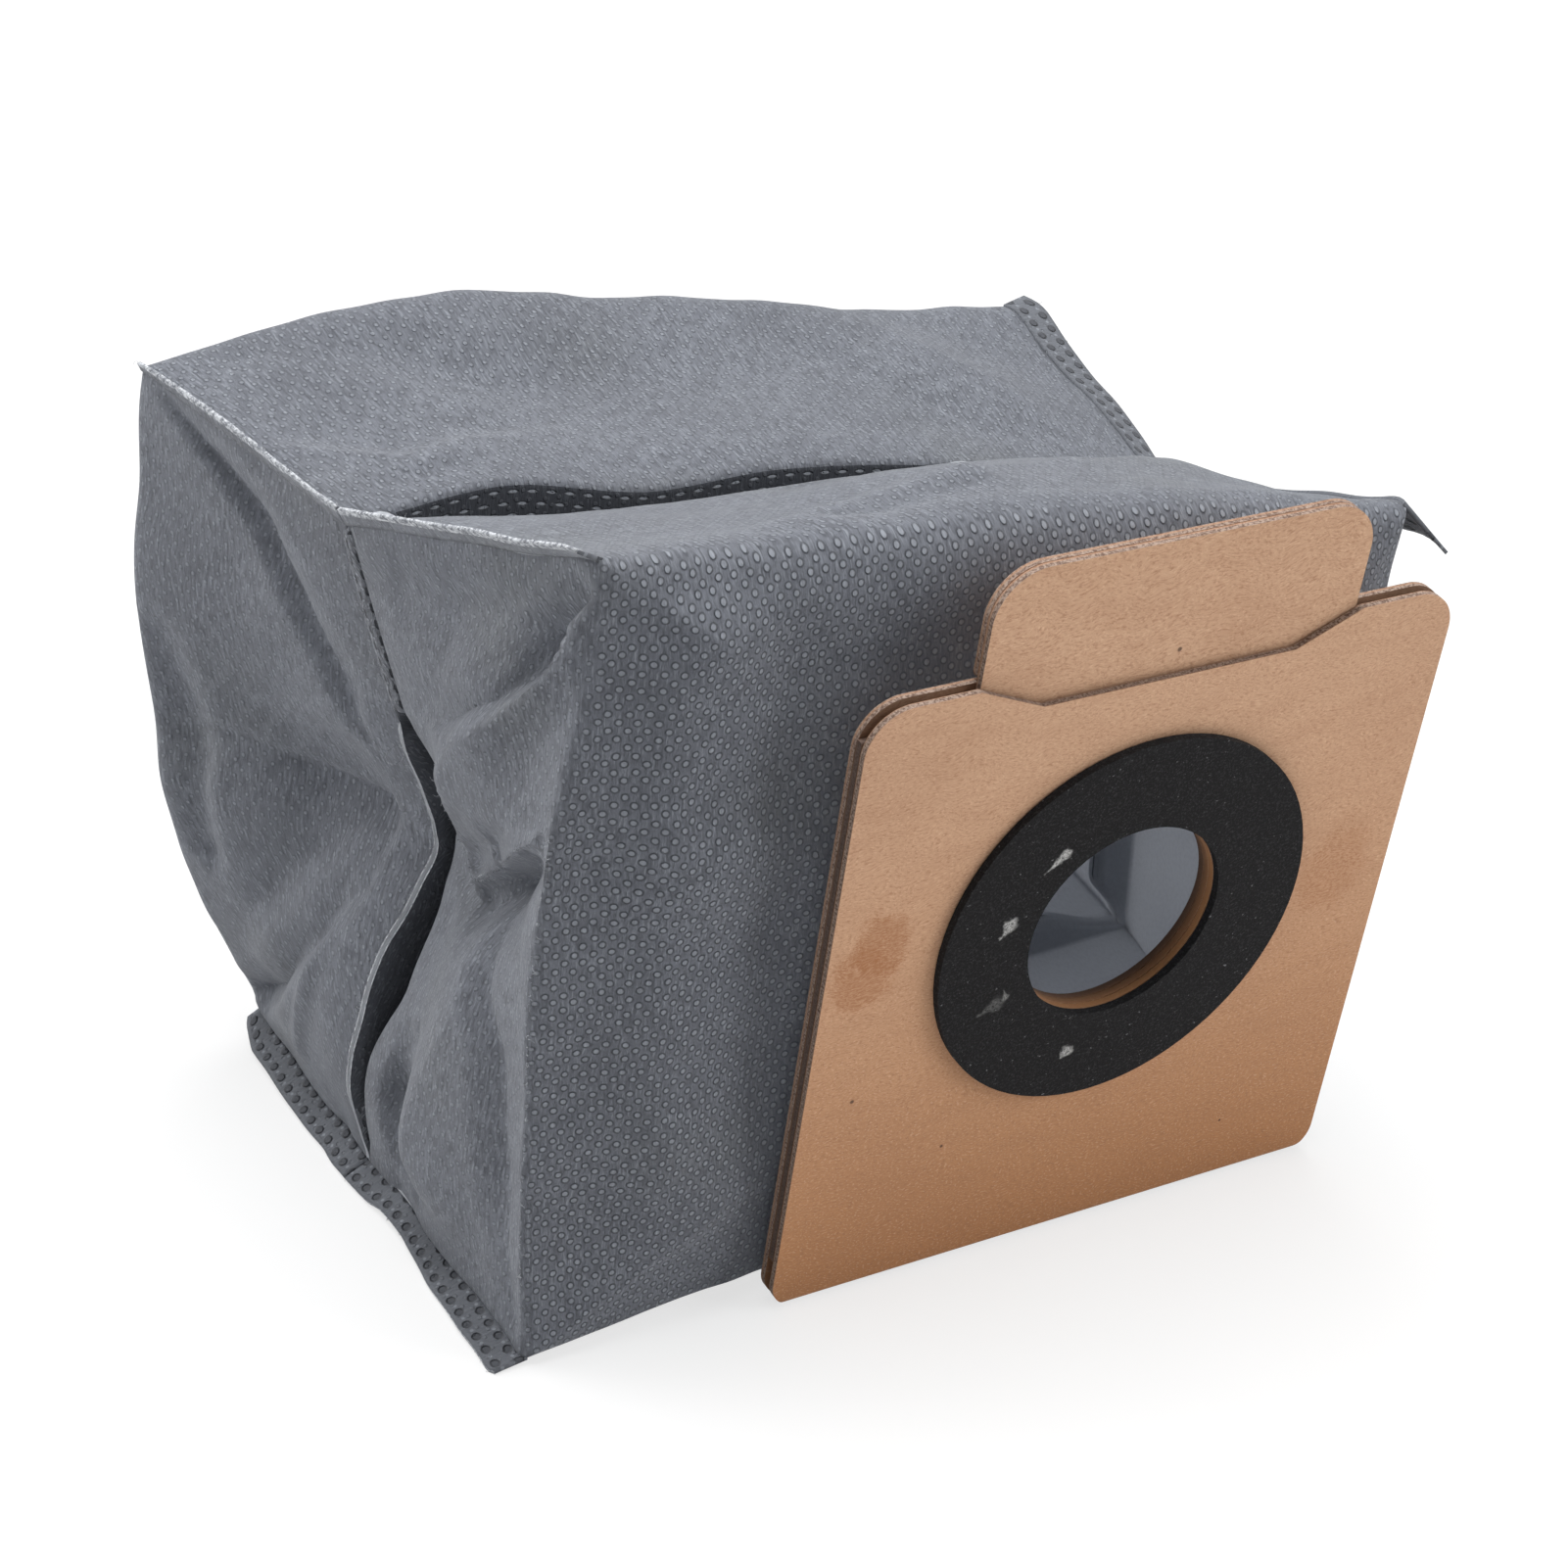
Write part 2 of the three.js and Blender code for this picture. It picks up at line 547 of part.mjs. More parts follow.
function fin(name, end, from, to, earY) {
  const atEnd = new THREE.Vector3(...FIN_DIRECTIONS[name][end]);
  const atMiddle = new THREE.Vector3(...FIN_DIRECTIONS[name].middle);
  const steps = SIDE_ROWS;
  const points = [];
  for (let i = 0; i <= steps; i += 1) {
    const share = i / steps;
    const direction = atEnd.clone().lerp(atMiddle, share).normalize();
    const flat = new THREE.Vector3(0, 1, 0).cross(direction).normalize();
    const root = from.clone().lerp(to, share).addScaledVector(direction, -FIN_ROOT_SINK);
    const ear = i === 0 ? earY : 0;
    const stretch = i === 0 && end === 'front' ? EAR_STRETCH[name] ?? 1 : 1;
    const width = FIN_WIDTH * stretch + FIN_ROOT_SINK;
    const tip = root.clone().addScaledVector(direction, width).add(new THREE.Vector3(0, ear, 0));
    for (const [base, half] of [[root, CLOTH], [tip, FIN_TIP_THINNING * CLOTH]]) {
      points.push(base.clone().addScaledVector(flat, half), base.clone().addScaledVector(flat, -half));
    }
  }
  const faces = [];
  const quad = (a, b, c, d) => faces.push([a, b, c], [a, c, d]);
  const last = 4 * steps;
  for (let i = 0; i < steps; i += 1) {
    const [near, far] = [4 * i, 4 * i + 4];
    quad(near, near + 2, far + 2, far);
    quad(near + 1, far + 1, far + 3, near + 3);
    quad(near, far, far + 1, near + 1);
    quad(near + 2, near + 3, far + 3, far + 2);
  }
  quad(0, 1, 3, 2);
  quad(last, last + 2, last + 3, last + 1);
  const geometry = new THREE.BufferGeometry().setFromPoints(points);
  geometry.setIndex(faces.flat());
  return geometry;
}

function finSolid(name, end, from, to, earY) {
  const geometry = fin(name, end, from, to, earY);
  const body = solid(geometry);
  if (body.volume() > 0) return body;
  const index = geometry.index.array;
  for (let i = 0; i < index.length; i += 3) [index[i], index[i + 1]] = [index[i + 1], index[i]];
  return solid(geometry);
}

// The fins of each sheet stop short of the seam, where the other sheet's fins go on
const seamStop = SEAM_WELD_GAP / 2;
function withFins(body, end, corners, forward) {
  let joined = body;
  for (const name of Object.keys(FIN_DIRECTIONS)) {
    const seam = middleCorners[name].clone().add(new THREE.Vector3(0, -forward * seamStop, 0));
    joined = joined.add(finSolid(name, end, corners[name], seam, -forward * FIN_EAR));
  }
  return joined;
}

const backCap = backMiddle.clone();
backCap.y += foldRise(BACK_PANEL_FOLDS, new THREE.Vector2(backCap.x, backCap.z));

const frontSheet = withFins(shell(frontRows(), 1), 'front', frontCorners, 1);
const backSheet = withFins(shell(backRows(), -1, backCap), 'back', backCorners, -1);

const bag = new THREE.Group();
bag.add(
  piece('front_sheet', geometryOf(frontSheet), cloth),
  piece('back_sheet', geometryOf(backSheet), cloth),
);

// The whole bag stands on z = 0 with the origin under the middle of its box
const dustBag = new THREE.Group();
dustBag.add(plate, bag);
dustBag.updateMatrixWorld(true);
const box = new THREE.Box3().setFromObject(dustBag, true);
const middle = box.getCenter(new THREE.Vector3());
dustBag.position.set(-middle.x, -middle.y, -box.min.z);
dustBag.updateMatrixWorld(true);

export default dustBag;
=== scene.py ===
import math

import bpy
import numpy as np
from mathutils import Matrix, Vector


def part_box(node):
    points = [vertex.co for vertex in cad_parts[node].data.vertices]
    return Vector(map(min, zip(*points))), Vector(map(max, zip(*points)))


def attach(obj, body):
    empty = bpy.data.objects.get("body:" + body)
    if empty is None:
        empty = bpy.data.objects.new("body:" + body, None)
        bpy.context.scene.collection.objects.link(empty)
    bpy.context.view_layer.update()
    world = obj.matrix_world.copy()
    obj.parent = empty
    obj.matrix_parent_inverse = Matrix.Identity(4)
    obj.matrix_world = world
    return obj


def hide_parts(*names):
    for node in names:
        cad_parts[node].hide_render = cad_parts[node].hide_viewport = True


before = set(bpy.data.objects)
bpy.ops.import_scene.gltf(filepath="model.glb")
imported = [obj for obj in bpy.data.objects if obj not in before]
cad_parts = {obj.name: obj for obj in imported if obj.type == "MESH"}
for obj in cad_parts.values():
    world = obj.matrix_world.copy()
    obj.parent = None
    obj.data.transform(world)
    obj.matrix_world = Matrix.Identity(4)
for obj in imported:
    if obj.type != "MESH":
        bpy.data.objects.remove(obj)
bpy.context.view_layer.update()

# The cloth's shape is worked out in millimetres from the middle of the plate's bottom front edge:
# X to the right, Y back into the bag, Z up. Everything that is built goes into metres at the end.
MM = 0.001
LEAN = math.radians(6)
CARD = 1.1
SLOT = 1.4
PLATE_THICK = 2 * CARD + SLOT
PLATE_HEIGHT = 106.8
PLATE_UP = np.array([0, -math.sin(LEAN), math.cos(LEAN)])
PLATE_OUT = np.array([0, -math.cos(LEAN), -math.sin(LEAN)])
PLATE_RIGHT = np.array([1.0, 0, 0])
INLET_R = 16.5
INLET_RISE = 60.4
GLUE_GAP = 0.15

card_low, card_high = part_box("mount_card")
rear_top = PLATE_HEIGHT * PLATE_UP - PLATE_THICK * PLATE_OUT
ORIGIN = np.array([
    (card_low.x + card_high.x) / 2 / MM,
    card_low.y / MM - PLATE_HEIGHT * PLATE_UP[1],
    card_high.z / MM - rear_top[2],
])


def placed(points):
    """Points of the bag in metres in the row frame, none of them under the floor."""
    metres = (np.asarray(points, float) + ORIGIN) * MM
    metres[..., 2] = np.maximum(metres[..., 2], 0)
    return metres


def add_object(name, data):
    """A new object in the scene that shows a mesh or holds a light or a camera."""
    item = bpy.data.objects.new(name, data)
    bpy.context.scene.collection.objects.link(item)
    return item


# Bag: nominal box, cloth, middle seam and fins
BAG_WIDTH = 146
BAG_DEPTH = 95
BAG_HEIGHT = 118
BAG_CENTRE_X = -14.5
BAG_FRONT_Y = 6
BAG_FLOOR_Z = 1.6
CLOTH = 0.6
CLOTH_INLET_R = INLET_R + 1.5
GLUE_RING_WIDTH = 16
SEAM_DEPTH = 7
SEAM_END_DEPTH = 1.6
SEAM_LIP = 1.4
SEAM_WELD_GAP = 0.3
SEAM_SLIT_GAP = 0.35
SEAM_PROUD = 0.4
VALLEY_TAPER = 0.3
VALLEY_KNEE = 0.75
FLANGE_FOOT = 0.8
FIN_WIDTH = 5
FIN_EAR = 2.2
FIN_ROOT_SINK = 0.45
SIDE_SHARE = 0.43
CORNER_BLEND = 0.14
SIDE_FADE = 4
PANEL_FADE = 5

# Fine grid
COLUMNS = {"top": 130, "right": 36, "bottom": 44, "left": 190}
CORNER_CROWD = {"right": 0.11, "bottom": 0.11}
PANEL_ROWS = 28
PANEL_MIDDLE = 0.03
SIDE_ROWS = 46
LIP_STEPS = 5
FLANGE_STEPS = 5
FIN_STEPS = 48
FIN_ROWS = 6

BOX_X = [BAG_CENTRE_X - BAG_WIDTH / 2, BAG_CENTRE_X + BAG_WIDTH / 2]
BOX_Y = [BAG_FRONT_Y, BAG_FRONT_Y + BAG_DEPTH / 2, BAG_FRONT_Y + BAG_DEPTH]
BOX_Z = [BAG_FLOOR_Z, BAG_FLOOR_Z + BAG_HEIGHT]


def corner(i, j, k, dx, dy, dz):
    return np.array([BOX_X[i] + dx, BOX_Y[j] + dy, BOX_Z[k] + dz])


FRONT_CORNERS = {
    "topLeft": corner(0, 0, 1, 3.6, -2, 9.4),
    "topRight": corner(1, 0, 1, -5.5, -1.5, -7.4),
    "bottomRight": corner(1, 0, 0, -8, 1, 0),
    "bottomLeft": corner(0, 0, 0, -1, -1.6, -0.8),
}
MIDDLE_CORNERS = {
    "topLeft": corner(0, 1, 1, -8.5, -0.5, -5.6),
    "topRight": corner(1, 1, 1, -12.5, 0.5, -25.6),
    "bottomRight": corner(1, 1, 0, 1.5, 12, 0),
    "bottomLeft": corner(0, 1, 0, -1.5, 2, 0.8),
}
BACK_CORNERS = {
    "topLeft": corner(0, 2, 1, -20.2, 0, 0.6),
    "topRight": corner(1, 2, 1, -12.5, 0, -12.6),
    "bottomRight": corner(1, 2, 0, 1.5, -5, 4),
    "bottomLeft": corner(0, 2, 0, -0.5, -2, 2),
}
FRONT_OFFSETS = {
    "top": [[0, 0.5, 0.9], [0, -0.4, 2.7], [0, -1.2, 4.2], [0, -2.2, 4.3], [0, -1.8, 3.1]],
    "right": [[0, 0, 0], [1, 0, 0], [1, 0, 0]],
    "bottom": [[0, 1.6, 0.2], [0, 2.4, 0.4], [0, 1.4, 0.6]],
    "left": [[-1.6, 2, 0.5], [-2.7, 1.6, 0.4], [-3.8, 1.2, 0.3], [-3.4, 0.8, 0.2], [-0.1, 0.4, 0.1]],
}
MIDDLE_OFFSETS = {
    "top": [[0, 0, 3.2], [0, 0, 2.2], [0, 0, 5], [0, 0, 5.4], [0, 0, 3.6]],
    "right": [[0, 0, 0], [-1, 0, 0], [0, 0, 0]],
    "bottom": [[0, 0, 0], [0, 0, 0], [0, 0, 0]],
    "left": [[-1.4, 0, 0], [4.6, 0, 0], [13.7, 0, 0], [8.9, 0, 0], [4.3, 0, 0]],
}
BACK_OFFSETS = {
    "top": [[0, 0, 6.7], [0, 1, 9.2], [0, 1, 7], [0, 0, 4.2], [0, 0, 1.4]],
    "right": [[1, 1, 0], [2, 2, 0], [1, 1, 0]],
    "bottom": [[0, 1, -3], [0, 2, -4], [0, 1, -3]],
    "left": [[-5.1, 3, 0], [-7.8, 4, 0], [-7.2, 4, 0], [-6.1, 4, 0], [-2.4, 2, 0]],
}
SIDES = [
    ("top", "topLeft", "topRight", (0, 0, 1)),
    ("right", "topRight", "bottomRight", (1, 0, 0)),
    ("bottom", "bottomRight", "bottomLeft", (0, 0, -1)),
    ("left", "bottomLeft", "topLeft", (-1, 0, 0)),
]

# Folds of a side: from and to are (share along the side, share from front to back), then the
# height of the crest at each end and how wide its flanks are
FOLDS = {
    "top": [
        ((0.5, 0.16), (0.95, 0.34), 5, 3, 22),
        ((0.1, 0.62), (0.55, 0.8), -4, -2, 26),
        ((0.75, 0.95), (0.92, 0.6), 3, 2, 14),
    ],
    "right": [
        ((0.2, 0.25), (0.8, 0.3), 4, 4, 22),
        ((0.2, 0.75), (0.8, 0.75), 4, 4, 22),
    ],
    "left": [
        ((0.98, 0.04), (0.68, 0.3), 3, 3, 13),
        ((0.625, 0.03), (0.5, 0.3), -4.5, -3, 10),
        ((0.42, 0.2), (0.14, 0.3), 4, 4, 18),
        ((0.9, 0.5), (0.55, 0.78), 3, -3, 20),
        ((0.5, 0.62), (0.14, 0.94), -5, -4, 16),
    ],
}
FRONT_PANEL_FOLDS = [
    ((-74, 108), (-70, 30), 4, 3, 18),
    ((-84, 84), (-70, 78), -3, 0, 10),
]
BACK_PANEL_FOLDS = [
    ((-60, 75), (10, 60), 9, 8, 60),
    ((-90, 20), (-60, 50), -3, 2, 20),
]

# Where the middle seam gapes: share along the side, gape and how much higher the far lip stands
SLITS = {
    "top": [
        (0.06, 0, 0), (0.1, 3.4, 1.4), (0.173, 7.4, 3.2), (0.22, 7, 3.2), (0.3, 4.2, 2),
        (0.35, 2.2, 1.1), (0.407, 2.5, 1.3), (0.466, 3.2, 1.6), (0.583, 1.8, 0.9),
        (0.653, 1, 0.5), (0.71, 0, 0),
    ],
    "left": [
        (0.07, 0, 0), (0.12, 0.5, 0.3), (0.18, 1.2, 0.5), (0.22, 2, 0.8), (0.26, 3.2, 1.2),
        (0.3, 4.6, 1.6), (0.34, 4.4, 1.6), (0.38, 4, 1.5), (0.42, 3, 1.4), (0.45, 1.4, 1.2),
        (0.5, 1, 1), (0.53, 2, 1), (0.57, 4, 1.2), (0.61, 5.2, 1.2), (0.65, 5.2, 1),
        (0.675, 4, 0.6), (0.7, 0, 0),
    ],
}
SLIT_WIDE = 6
SLIT_DEEPER = 5
SLIT_LIP = 0.5
# How far the flange stands over the far lip where the seam gapes, or under it if negative
SLIT_STAND = {"top": -8.5, "left": 1}
# Where the seam lies closed: side, from, to, and how far its flange lies over the far sheet
CLOSED = [("left", 0.68, 2, 2.2), ("left", -1, 0.05, 0), ("top", -1, 0.05, 0),
          ("top", 0.71, 2, 0), ("right", -1, 0.08, 0)]
CLOSED_RAMP = 0.04
CLOSED_DEPTH = 0.3
CLOSED_RISE = 0.9
CLOSED_SINK = -0.8

# Creases of a side: points of (share along the side, share from front to back, rise), then the
# flanks' widths left and right of the way they run, and whether the crest is soft
CREASES = {
    "left": [
        ([(0.985, 0, -1), (0.905, 0.05, -1.5), (0.862, 0.1, -1.5), (0.8, 0.19, -1.4),
          (0.765, 0.27, -1.2), (0.74, 0.33, -0.6)], (2.4, 8), False),
        ([(0.955, 0, 1), (0.88, 0.04, 1.3), (0.835, 0.09, 1.3), (0.775, 0.17, 1.1),
          (0.735, 0.25, 0.6)], (7, 2.4), False),
        ([(0.72, 0.3, 0.4), (0.616, 0.33, 1), (0.547, 0.34, 1.2), (0.505, 0.33, 1.4),
          (0.54, 0.26, 1.4), (0.58, 0.19, 1.4), (0.63, 0.1, 1.3), (0.658, 0.05, 1)], (5, 2.6), False),
        ([(0.625, 0.07, -1), (0.575, 0.15, -1.5), (0.52, 0.23, -1.6),
          (0.475, 0.3, -1.1)], (4.6, 3), False),
        ([(0.55, 0.2, -1), (0.42, 0.16, -1.6), (0.36, 0.115, -1.6), (0.22, 0.08, -1.4),
          (0.14, 0.065, -1.2), (0.03, 0.045, -0.7)], (14, 5), False),
        ([(0.26, 0.36, -1), (0.17, 0.39, -2.4), (0.08, 0.36, -1.4)], (9, 6), True),
        ([(0.985, 0.93, -0.8), (0.93, 0.82, -1.5), (0.88, 0.74, -1.7), (0.8, 0.68, -1.6),
          (0.7, 0.63, -1.3), (0.64, 0.6, -0.7)], (9, 2.6), False),
        ([(0.5, 0.86, -0.5), (0.49, 0.72, -1.1), (0.5, 0.62, -1.2)], (3, 7), False),
        ([(0.47, 0.6, -0.7), (0.39, 0.6, -1.2), (0.27, 0.68, -1.5), (0.12, 0.82, -2),
          (0.04, 0.95, -2.6)], (4, 6), False),
        ([(0.43, 0.6, 0.3), (0.2, 0.66, 0.8), (0.08, 0.72, 0.5)], (3, 3), False),
        ([(0.62, 0.96, -0.6), (0.45, 0.94, -1.6), (0.3, 0.94, -1.4)], (6, 4), True),
    ],
    "top": [
        ([(0.02, 0.7, 0.6), (0.12, 0.62, 1.1), (0.3, 0.66, 0.3)], (5, 9), False),
        ([(0.1, 0.95, -0.5), (0.3, 0.8, -1), (0.45, 0.82, -0.4)], (9, 9), True),
        ([(0.2, 0.02, 0.4), (0.3, 0.1, 0.9), (0.5, 0.14, 0.7)], (6, 4), True),
    ],
}
CREASE_POWER = 1.4
CREASE_LIFT = 1.8
CREASE_END = 4
CREASE_EDGE = 1.2
CREASE_LIP = 2.5
SLIT_BLUR = 7

# The seam's lip turns in by this angle, and its flange wanders up and sideways in waves
LIP_TURN = math.pi / 2.4
FLANGE_WANDER = 0.4
RISE_WAVE = 1.7
BEND_WAVE = 2.2
BEND_SHIFT = 40

# Creases of the front panel: points of (X, Z, rise out of the panel)
PANEL_CREASES = [
    ([(-86, 90, 1), (-66, 83, 2.2), (-54, 80, 1)], (9, 16), True),
    ([(-83, 116, 0.5), (-66, 119, 2.4), (-40, 121, 2.6), (0, 121, 2), (34, 112, 1)], (12, 14), True),
    ([(-56, 110, -1.4), (-53, 98, -1.9), (-52, 60, -1.9), (-50, 18, -1.6)], (12, 11), True),
    ([(-84, 125, -0.4), (-79, 119, -1), (-73, 116, -0.3)], (3, 4), False),
    ([(-86, 40, 0.4), (-72, 34, 1.2), (-60, 20, 0.6)], (14, 12), True),
]
FIN_DIRECTIONS = {
    "topLeft": ((-0.5, 0, 0.3), (-0.5, 0, 0.85), (-0.35, 0, 0.9)),
    "topRight": ((0.7, 0, -0.72), (0.86, 0, -0.5), (0.86, 0, 0.02)),
    "bottomRight": ((0.7, 0, 0.7), (0.97, 0, -0.2), (0.97, 0, -0.2)),
    "bottomLeft": ((-0.8, 0, -0.1), (-0.8, 0, -0.4), (-0.75, 0, -0.4)),
}
EAR_STRETCH = {"topRight": 2.2}
# Width of a fin along its length from front to back, as a share of the usual width
FIN_OUTLINE = {"topLeft": ((0, 0.8), (0.3, 0.55), (0.7, 0.5), (1, 0.2)),
               "bottomLeft": ((0, 0.95), (0.1, 1.05), (0.22, 0.95), (0.33, 0.72), (0.42, 0.8),
                              (0.55, 1), (0.75, 0.95), (0.92, 0.85), (1, 0.55))}


def unit(v):
    v = np.asarray(v, float)
    return v / np.linalg.norm(v, axis=-1, keepdims=True)


def lerp(a, b, t):
    return a + (b - a) * t


def smooth(t):
    t = np.clip(t, 0, 1)
    return t * t * (3 - 2 * t)


def fade(share, steepness):
    return np.minimum(1, steepness * share * (1 - share))


def run_along(points):
    """How far it is along the points from the first of them to each."""
    steps = np.linalg.norm(np.diff(points, axis=0), axis=-1)
    return np.concatenate([np.zeros_like(steps[:1]), np.cumsum(steps, 0)])


def edge_curve(start, end, offsets, shares):
    """A uniform Catmull-Rom curve through a straight line's evenly spaced, shifted points."""
    inner = [lerp(start, end, (i + 1) / (len(offsets) + 1)) + np.array(offset, float)
             for i, offset in enumerate(offsets)]
    points = np.array([start, *inner, end])
    before = 2 * points[0] - points[1]
    after = 2 * points[-1] - points[-2]
    points = np.vstack([before, points, after])
    spans = len(points) - 3
    place = np.asarray(shares) * spans
    index = np.minimum(place.astype(int), spans - 1)
    w = (place - index)[:, None]
    p0, p1, p2, p3 = (points[index + i] for i in range(4))
    t0, t1 = (p2 - p0) / 2, (p3 - p1) / 2
    return (p1 + t0 * w + (3 * (p2 - p1) - 2 * t0 - t1) * w ** 2
            + (2 * (p1 - p2) + t0 + t1) * w ** 3)


def fold_rise(folds, place):
    """Height of a set of folds at each place, in the plane's own millimetres."""
    rise = np.zeros(len(place))
    for start, end, rise_start, rise_end, spread in folds:
        start, run = np.array(start, float), np.array(end, float) - np.array(start, float)
        along = np.clip((place - start) @ run / (run @ run), 0, 1)
        reach = np.linalg.norm(place - start - along[:, None] * run, axis=1) / spread
        rise += lerp(rise_start, rise_end, along) * np.maximum(0, 1 - reach)
    return rise


def crease_rise(creases, place):
    """Height of creases with a sharp or soft crest at each place."""
    rise = np.zeros(len(place))
    for points, (left, right), soft in creases:
        points = np.array(points, float)
        nearest = np.full(len(place), np.inf)
        crest, width = np.zeros(len(place)), np.ones(len(place))
        for start, end in zip(points, points[1:]):
            run = end[:2] - start[:2]
            along = np.clip((place - start[:2]) @ run / (run @ run), 0, 1)
            off = place - start[:2] - along[:, None] * run
            reach = np.linalg.norm(off, axis=1)
            turned = run[0] * off[:, 1] - run[1] * off[:, 0] > 0
            nearer = reach < nearest
            nearest = np.where(nearer, reach, nearest)
            crest = np.where(nearer, lerp(start[2], end[2], along), crest)
            width = np.where(nearer, np.where(turned, left, right), width)
        within = np.clip(1 - nearest / width, 0, 1)
        rise += crest * (smooth(within) if soft else within ** CREASE_POWER)
    return rise


# Small irregularity of the cloth: a sum of sine waves, the same in each run
RIPPLE_SEED = 7
RIPPLE_WAVES = 18
RIPPLE_LONG = 46
RIPPLE_SHORT = 9
RIPPLE_GAIN = 2.2
ripple_random = np.random.default_rng(RIPPLE_SEED)
ripple_lengths = np.geomspace(RIPPLE_LONG, RIPPLE_SHORT, RIPPLE_WAVES)
ripple_vectors = unit(ripple_random.normal(size=(RIPPLE_WAVES, 3)))
ripple_vectors = ripple_vectors * (2 * math.pi / ripple_lengths)[:, None]
ripple_phases = ripple_random.uniform(0, 2 * math.pi, RIPPLE_WAVES)
ripple_heights = RIPPLE_GAIN * ripple_lengths / ripple_lengths.sum()


def ripple(points):
    """Between about -1 and 1, smooth over the cloth."""
    return np.sin(points @ ripple_vectors.T + ripple_phases) @ ripple_heights


class Columns:
    """The columns of the bag's grid, one after another round its four sides."""

    def __init__(self):
        parts = {key: [] for key in ("share", "normal", "out", "front", "middle", "back", "length")}
        self.side = []
        for index, (name, start, end, out) in enumerate(SIDES):
            count = COLUMNS[name]
            share = np.arange(count) / count
            share = share - CORNER_CROWD.get(name, 0) * np.sin(2 * math.pi * share)
            before = np.array(SIDES[index - 1][3], float)
            after = np.array(SIDES[(index + 1) % 4][3], float)
            to_before = 0.5 * np.maximum(0, 1 - share / CORNER_BLEND)[:, None]
            to_after = 0.5 * np.maximum(0, 1 - (1 - share) / CORNER_BLEND)[:, None]
            normal = lerp(np.array(out, float), before, to_before)
            parts["normal"].append(unit(lerp(normal, after, to_after)))
            parts["share"].append(share)
            parts["out"].append(np.tile(np.array(out, float), (count, 1)))
            ends = ((FRONT_CORNERS, FRONT_OFFSETS), (MIDDLE_CORNERS, MIDDLE_OFFSETS),
                    (BACK_CORNERS, BACK_OFFSETS))
            for key, (corners, offsets) in zip(("front", "middle", "back"), ends):
                curve = edge_curve(corners[start], corners[end], offsets[name], share)
                parts[key].append(curve)
            length = np.linalg.norm(FRONT_CORNERS[start] - FRONT_CORNERS[end])
            parts["length"].append(np.full(count, length))
            self.side += [name] * count
        self.side = np.array(self.side)
        for key, value in parts.items():
            setattr(self, key, np.concatenate(value))
        edge = np.minimum(self.share, 1 - self.share)
        self.inside = smooth(edge / CORNER_BLEND)

    def slit(self):
        """Each column's gape, step between the lips, how closed the seam is and how far it lies."""
        gape, step, closed, lay = (np.zeros(len(self.share)) for _ in range(4))
        for name, profile in SLITS.items():
            mine = self.side == name
            shares, gapes, steps = zip(*profile)
            gape[mine] = np.interp(self.share[mine], shares, gapes)
            step[mine] = np.interp(self.share[mine], shares, steps)
        for name, start, end, over in CLOSED:
            mine = self.side == name
            into = smooth((self.share[mine] - start) / CLOSED_RAMP)
            out = smooth((end - self.share[mine]) / CLOSED_RAMP)
            closed[mine] = np.maximum(closed[mine], into * out)
            lay[mine] += over * into * out * smooth((1 - self.share[mine]) / CLOSED_RAMP)
        blur = np.ones(SLIT_BLUR) / SLIT_BLUR
        gape, step = (np.convolve(np.pad(profile, SLIT_BLUR // 2, "wrap"), blur, "valid")
                      for profile in (gape, step))
        return gape, step, closed, lay

    def reach(self, toward):
        """How far the flat part of a side goes towards the seam, as a share of the bag's depth."""
        opening = self.slit()[0] * (toward > 0)
        wall = SEAM_WELD_GAP / 2 + CLOTH + SEAM_SLIT_GAP + opening
        return np.minimum(SIDE_SHARE, 0.5 - (wall + CREASE_LIP) / BAG_DEPTH)

    def side_point(self, near, toward):
        """Points of a side, from its front or back edge (0) to the lip at the seam (1)."""
        from_edge = near * self.reach(toward)
        within = 2 * from_edge
        edge = self.front if toward > 0 else self.back
        depth = from_edge if toward > 0 else 1 - from_edge
        point = lerp(edge, self.middle, within[:, None])
        rise, crease = np.zeros(len(point)), np.zeros(len(point))
        for name, folds in FOLDS.items():
            mine = self.side == name
            length = self.length[mine][0]
            scale = np.array([length, BAG_DEPTH])
            scaled = [(np.array(a) * scale, np.array(b) * scale, *rest) for a, b, *rest in folds]
            place = np.stack([self.share[mine], depth[mine]], 1) * scale
            rise[mine] = fold_rise(scaled, place)
            sharp = [(np.array(points) * [*scale, 1], widths, soft)
                     for points, widths, soft in CREASES.get(name, [])]
            ends = np.minimum(self.share[mine], 1 - self.share[mine]) * length / CREASE_END
            crease[mine] = CREASE_LIFT * crease_rise(sharp, place) * np.minimum(1, ends)
        rise *= self.inside * fade(within, SIDE_FADE)
        crease *= np.minimum(1, from_edge * BAG_DEPTH / CREASE_EDGE)
        crease *= np.minimum(1, (self.reach(toward) - from_edge) * BAG_DEPTH / CREASE_LIP)
        level = -toward * self.slit()[1] / 2 * smooth((near - 0.5) / 0.5)
        return point + self.normal * (rise + crease + level)[:, None]

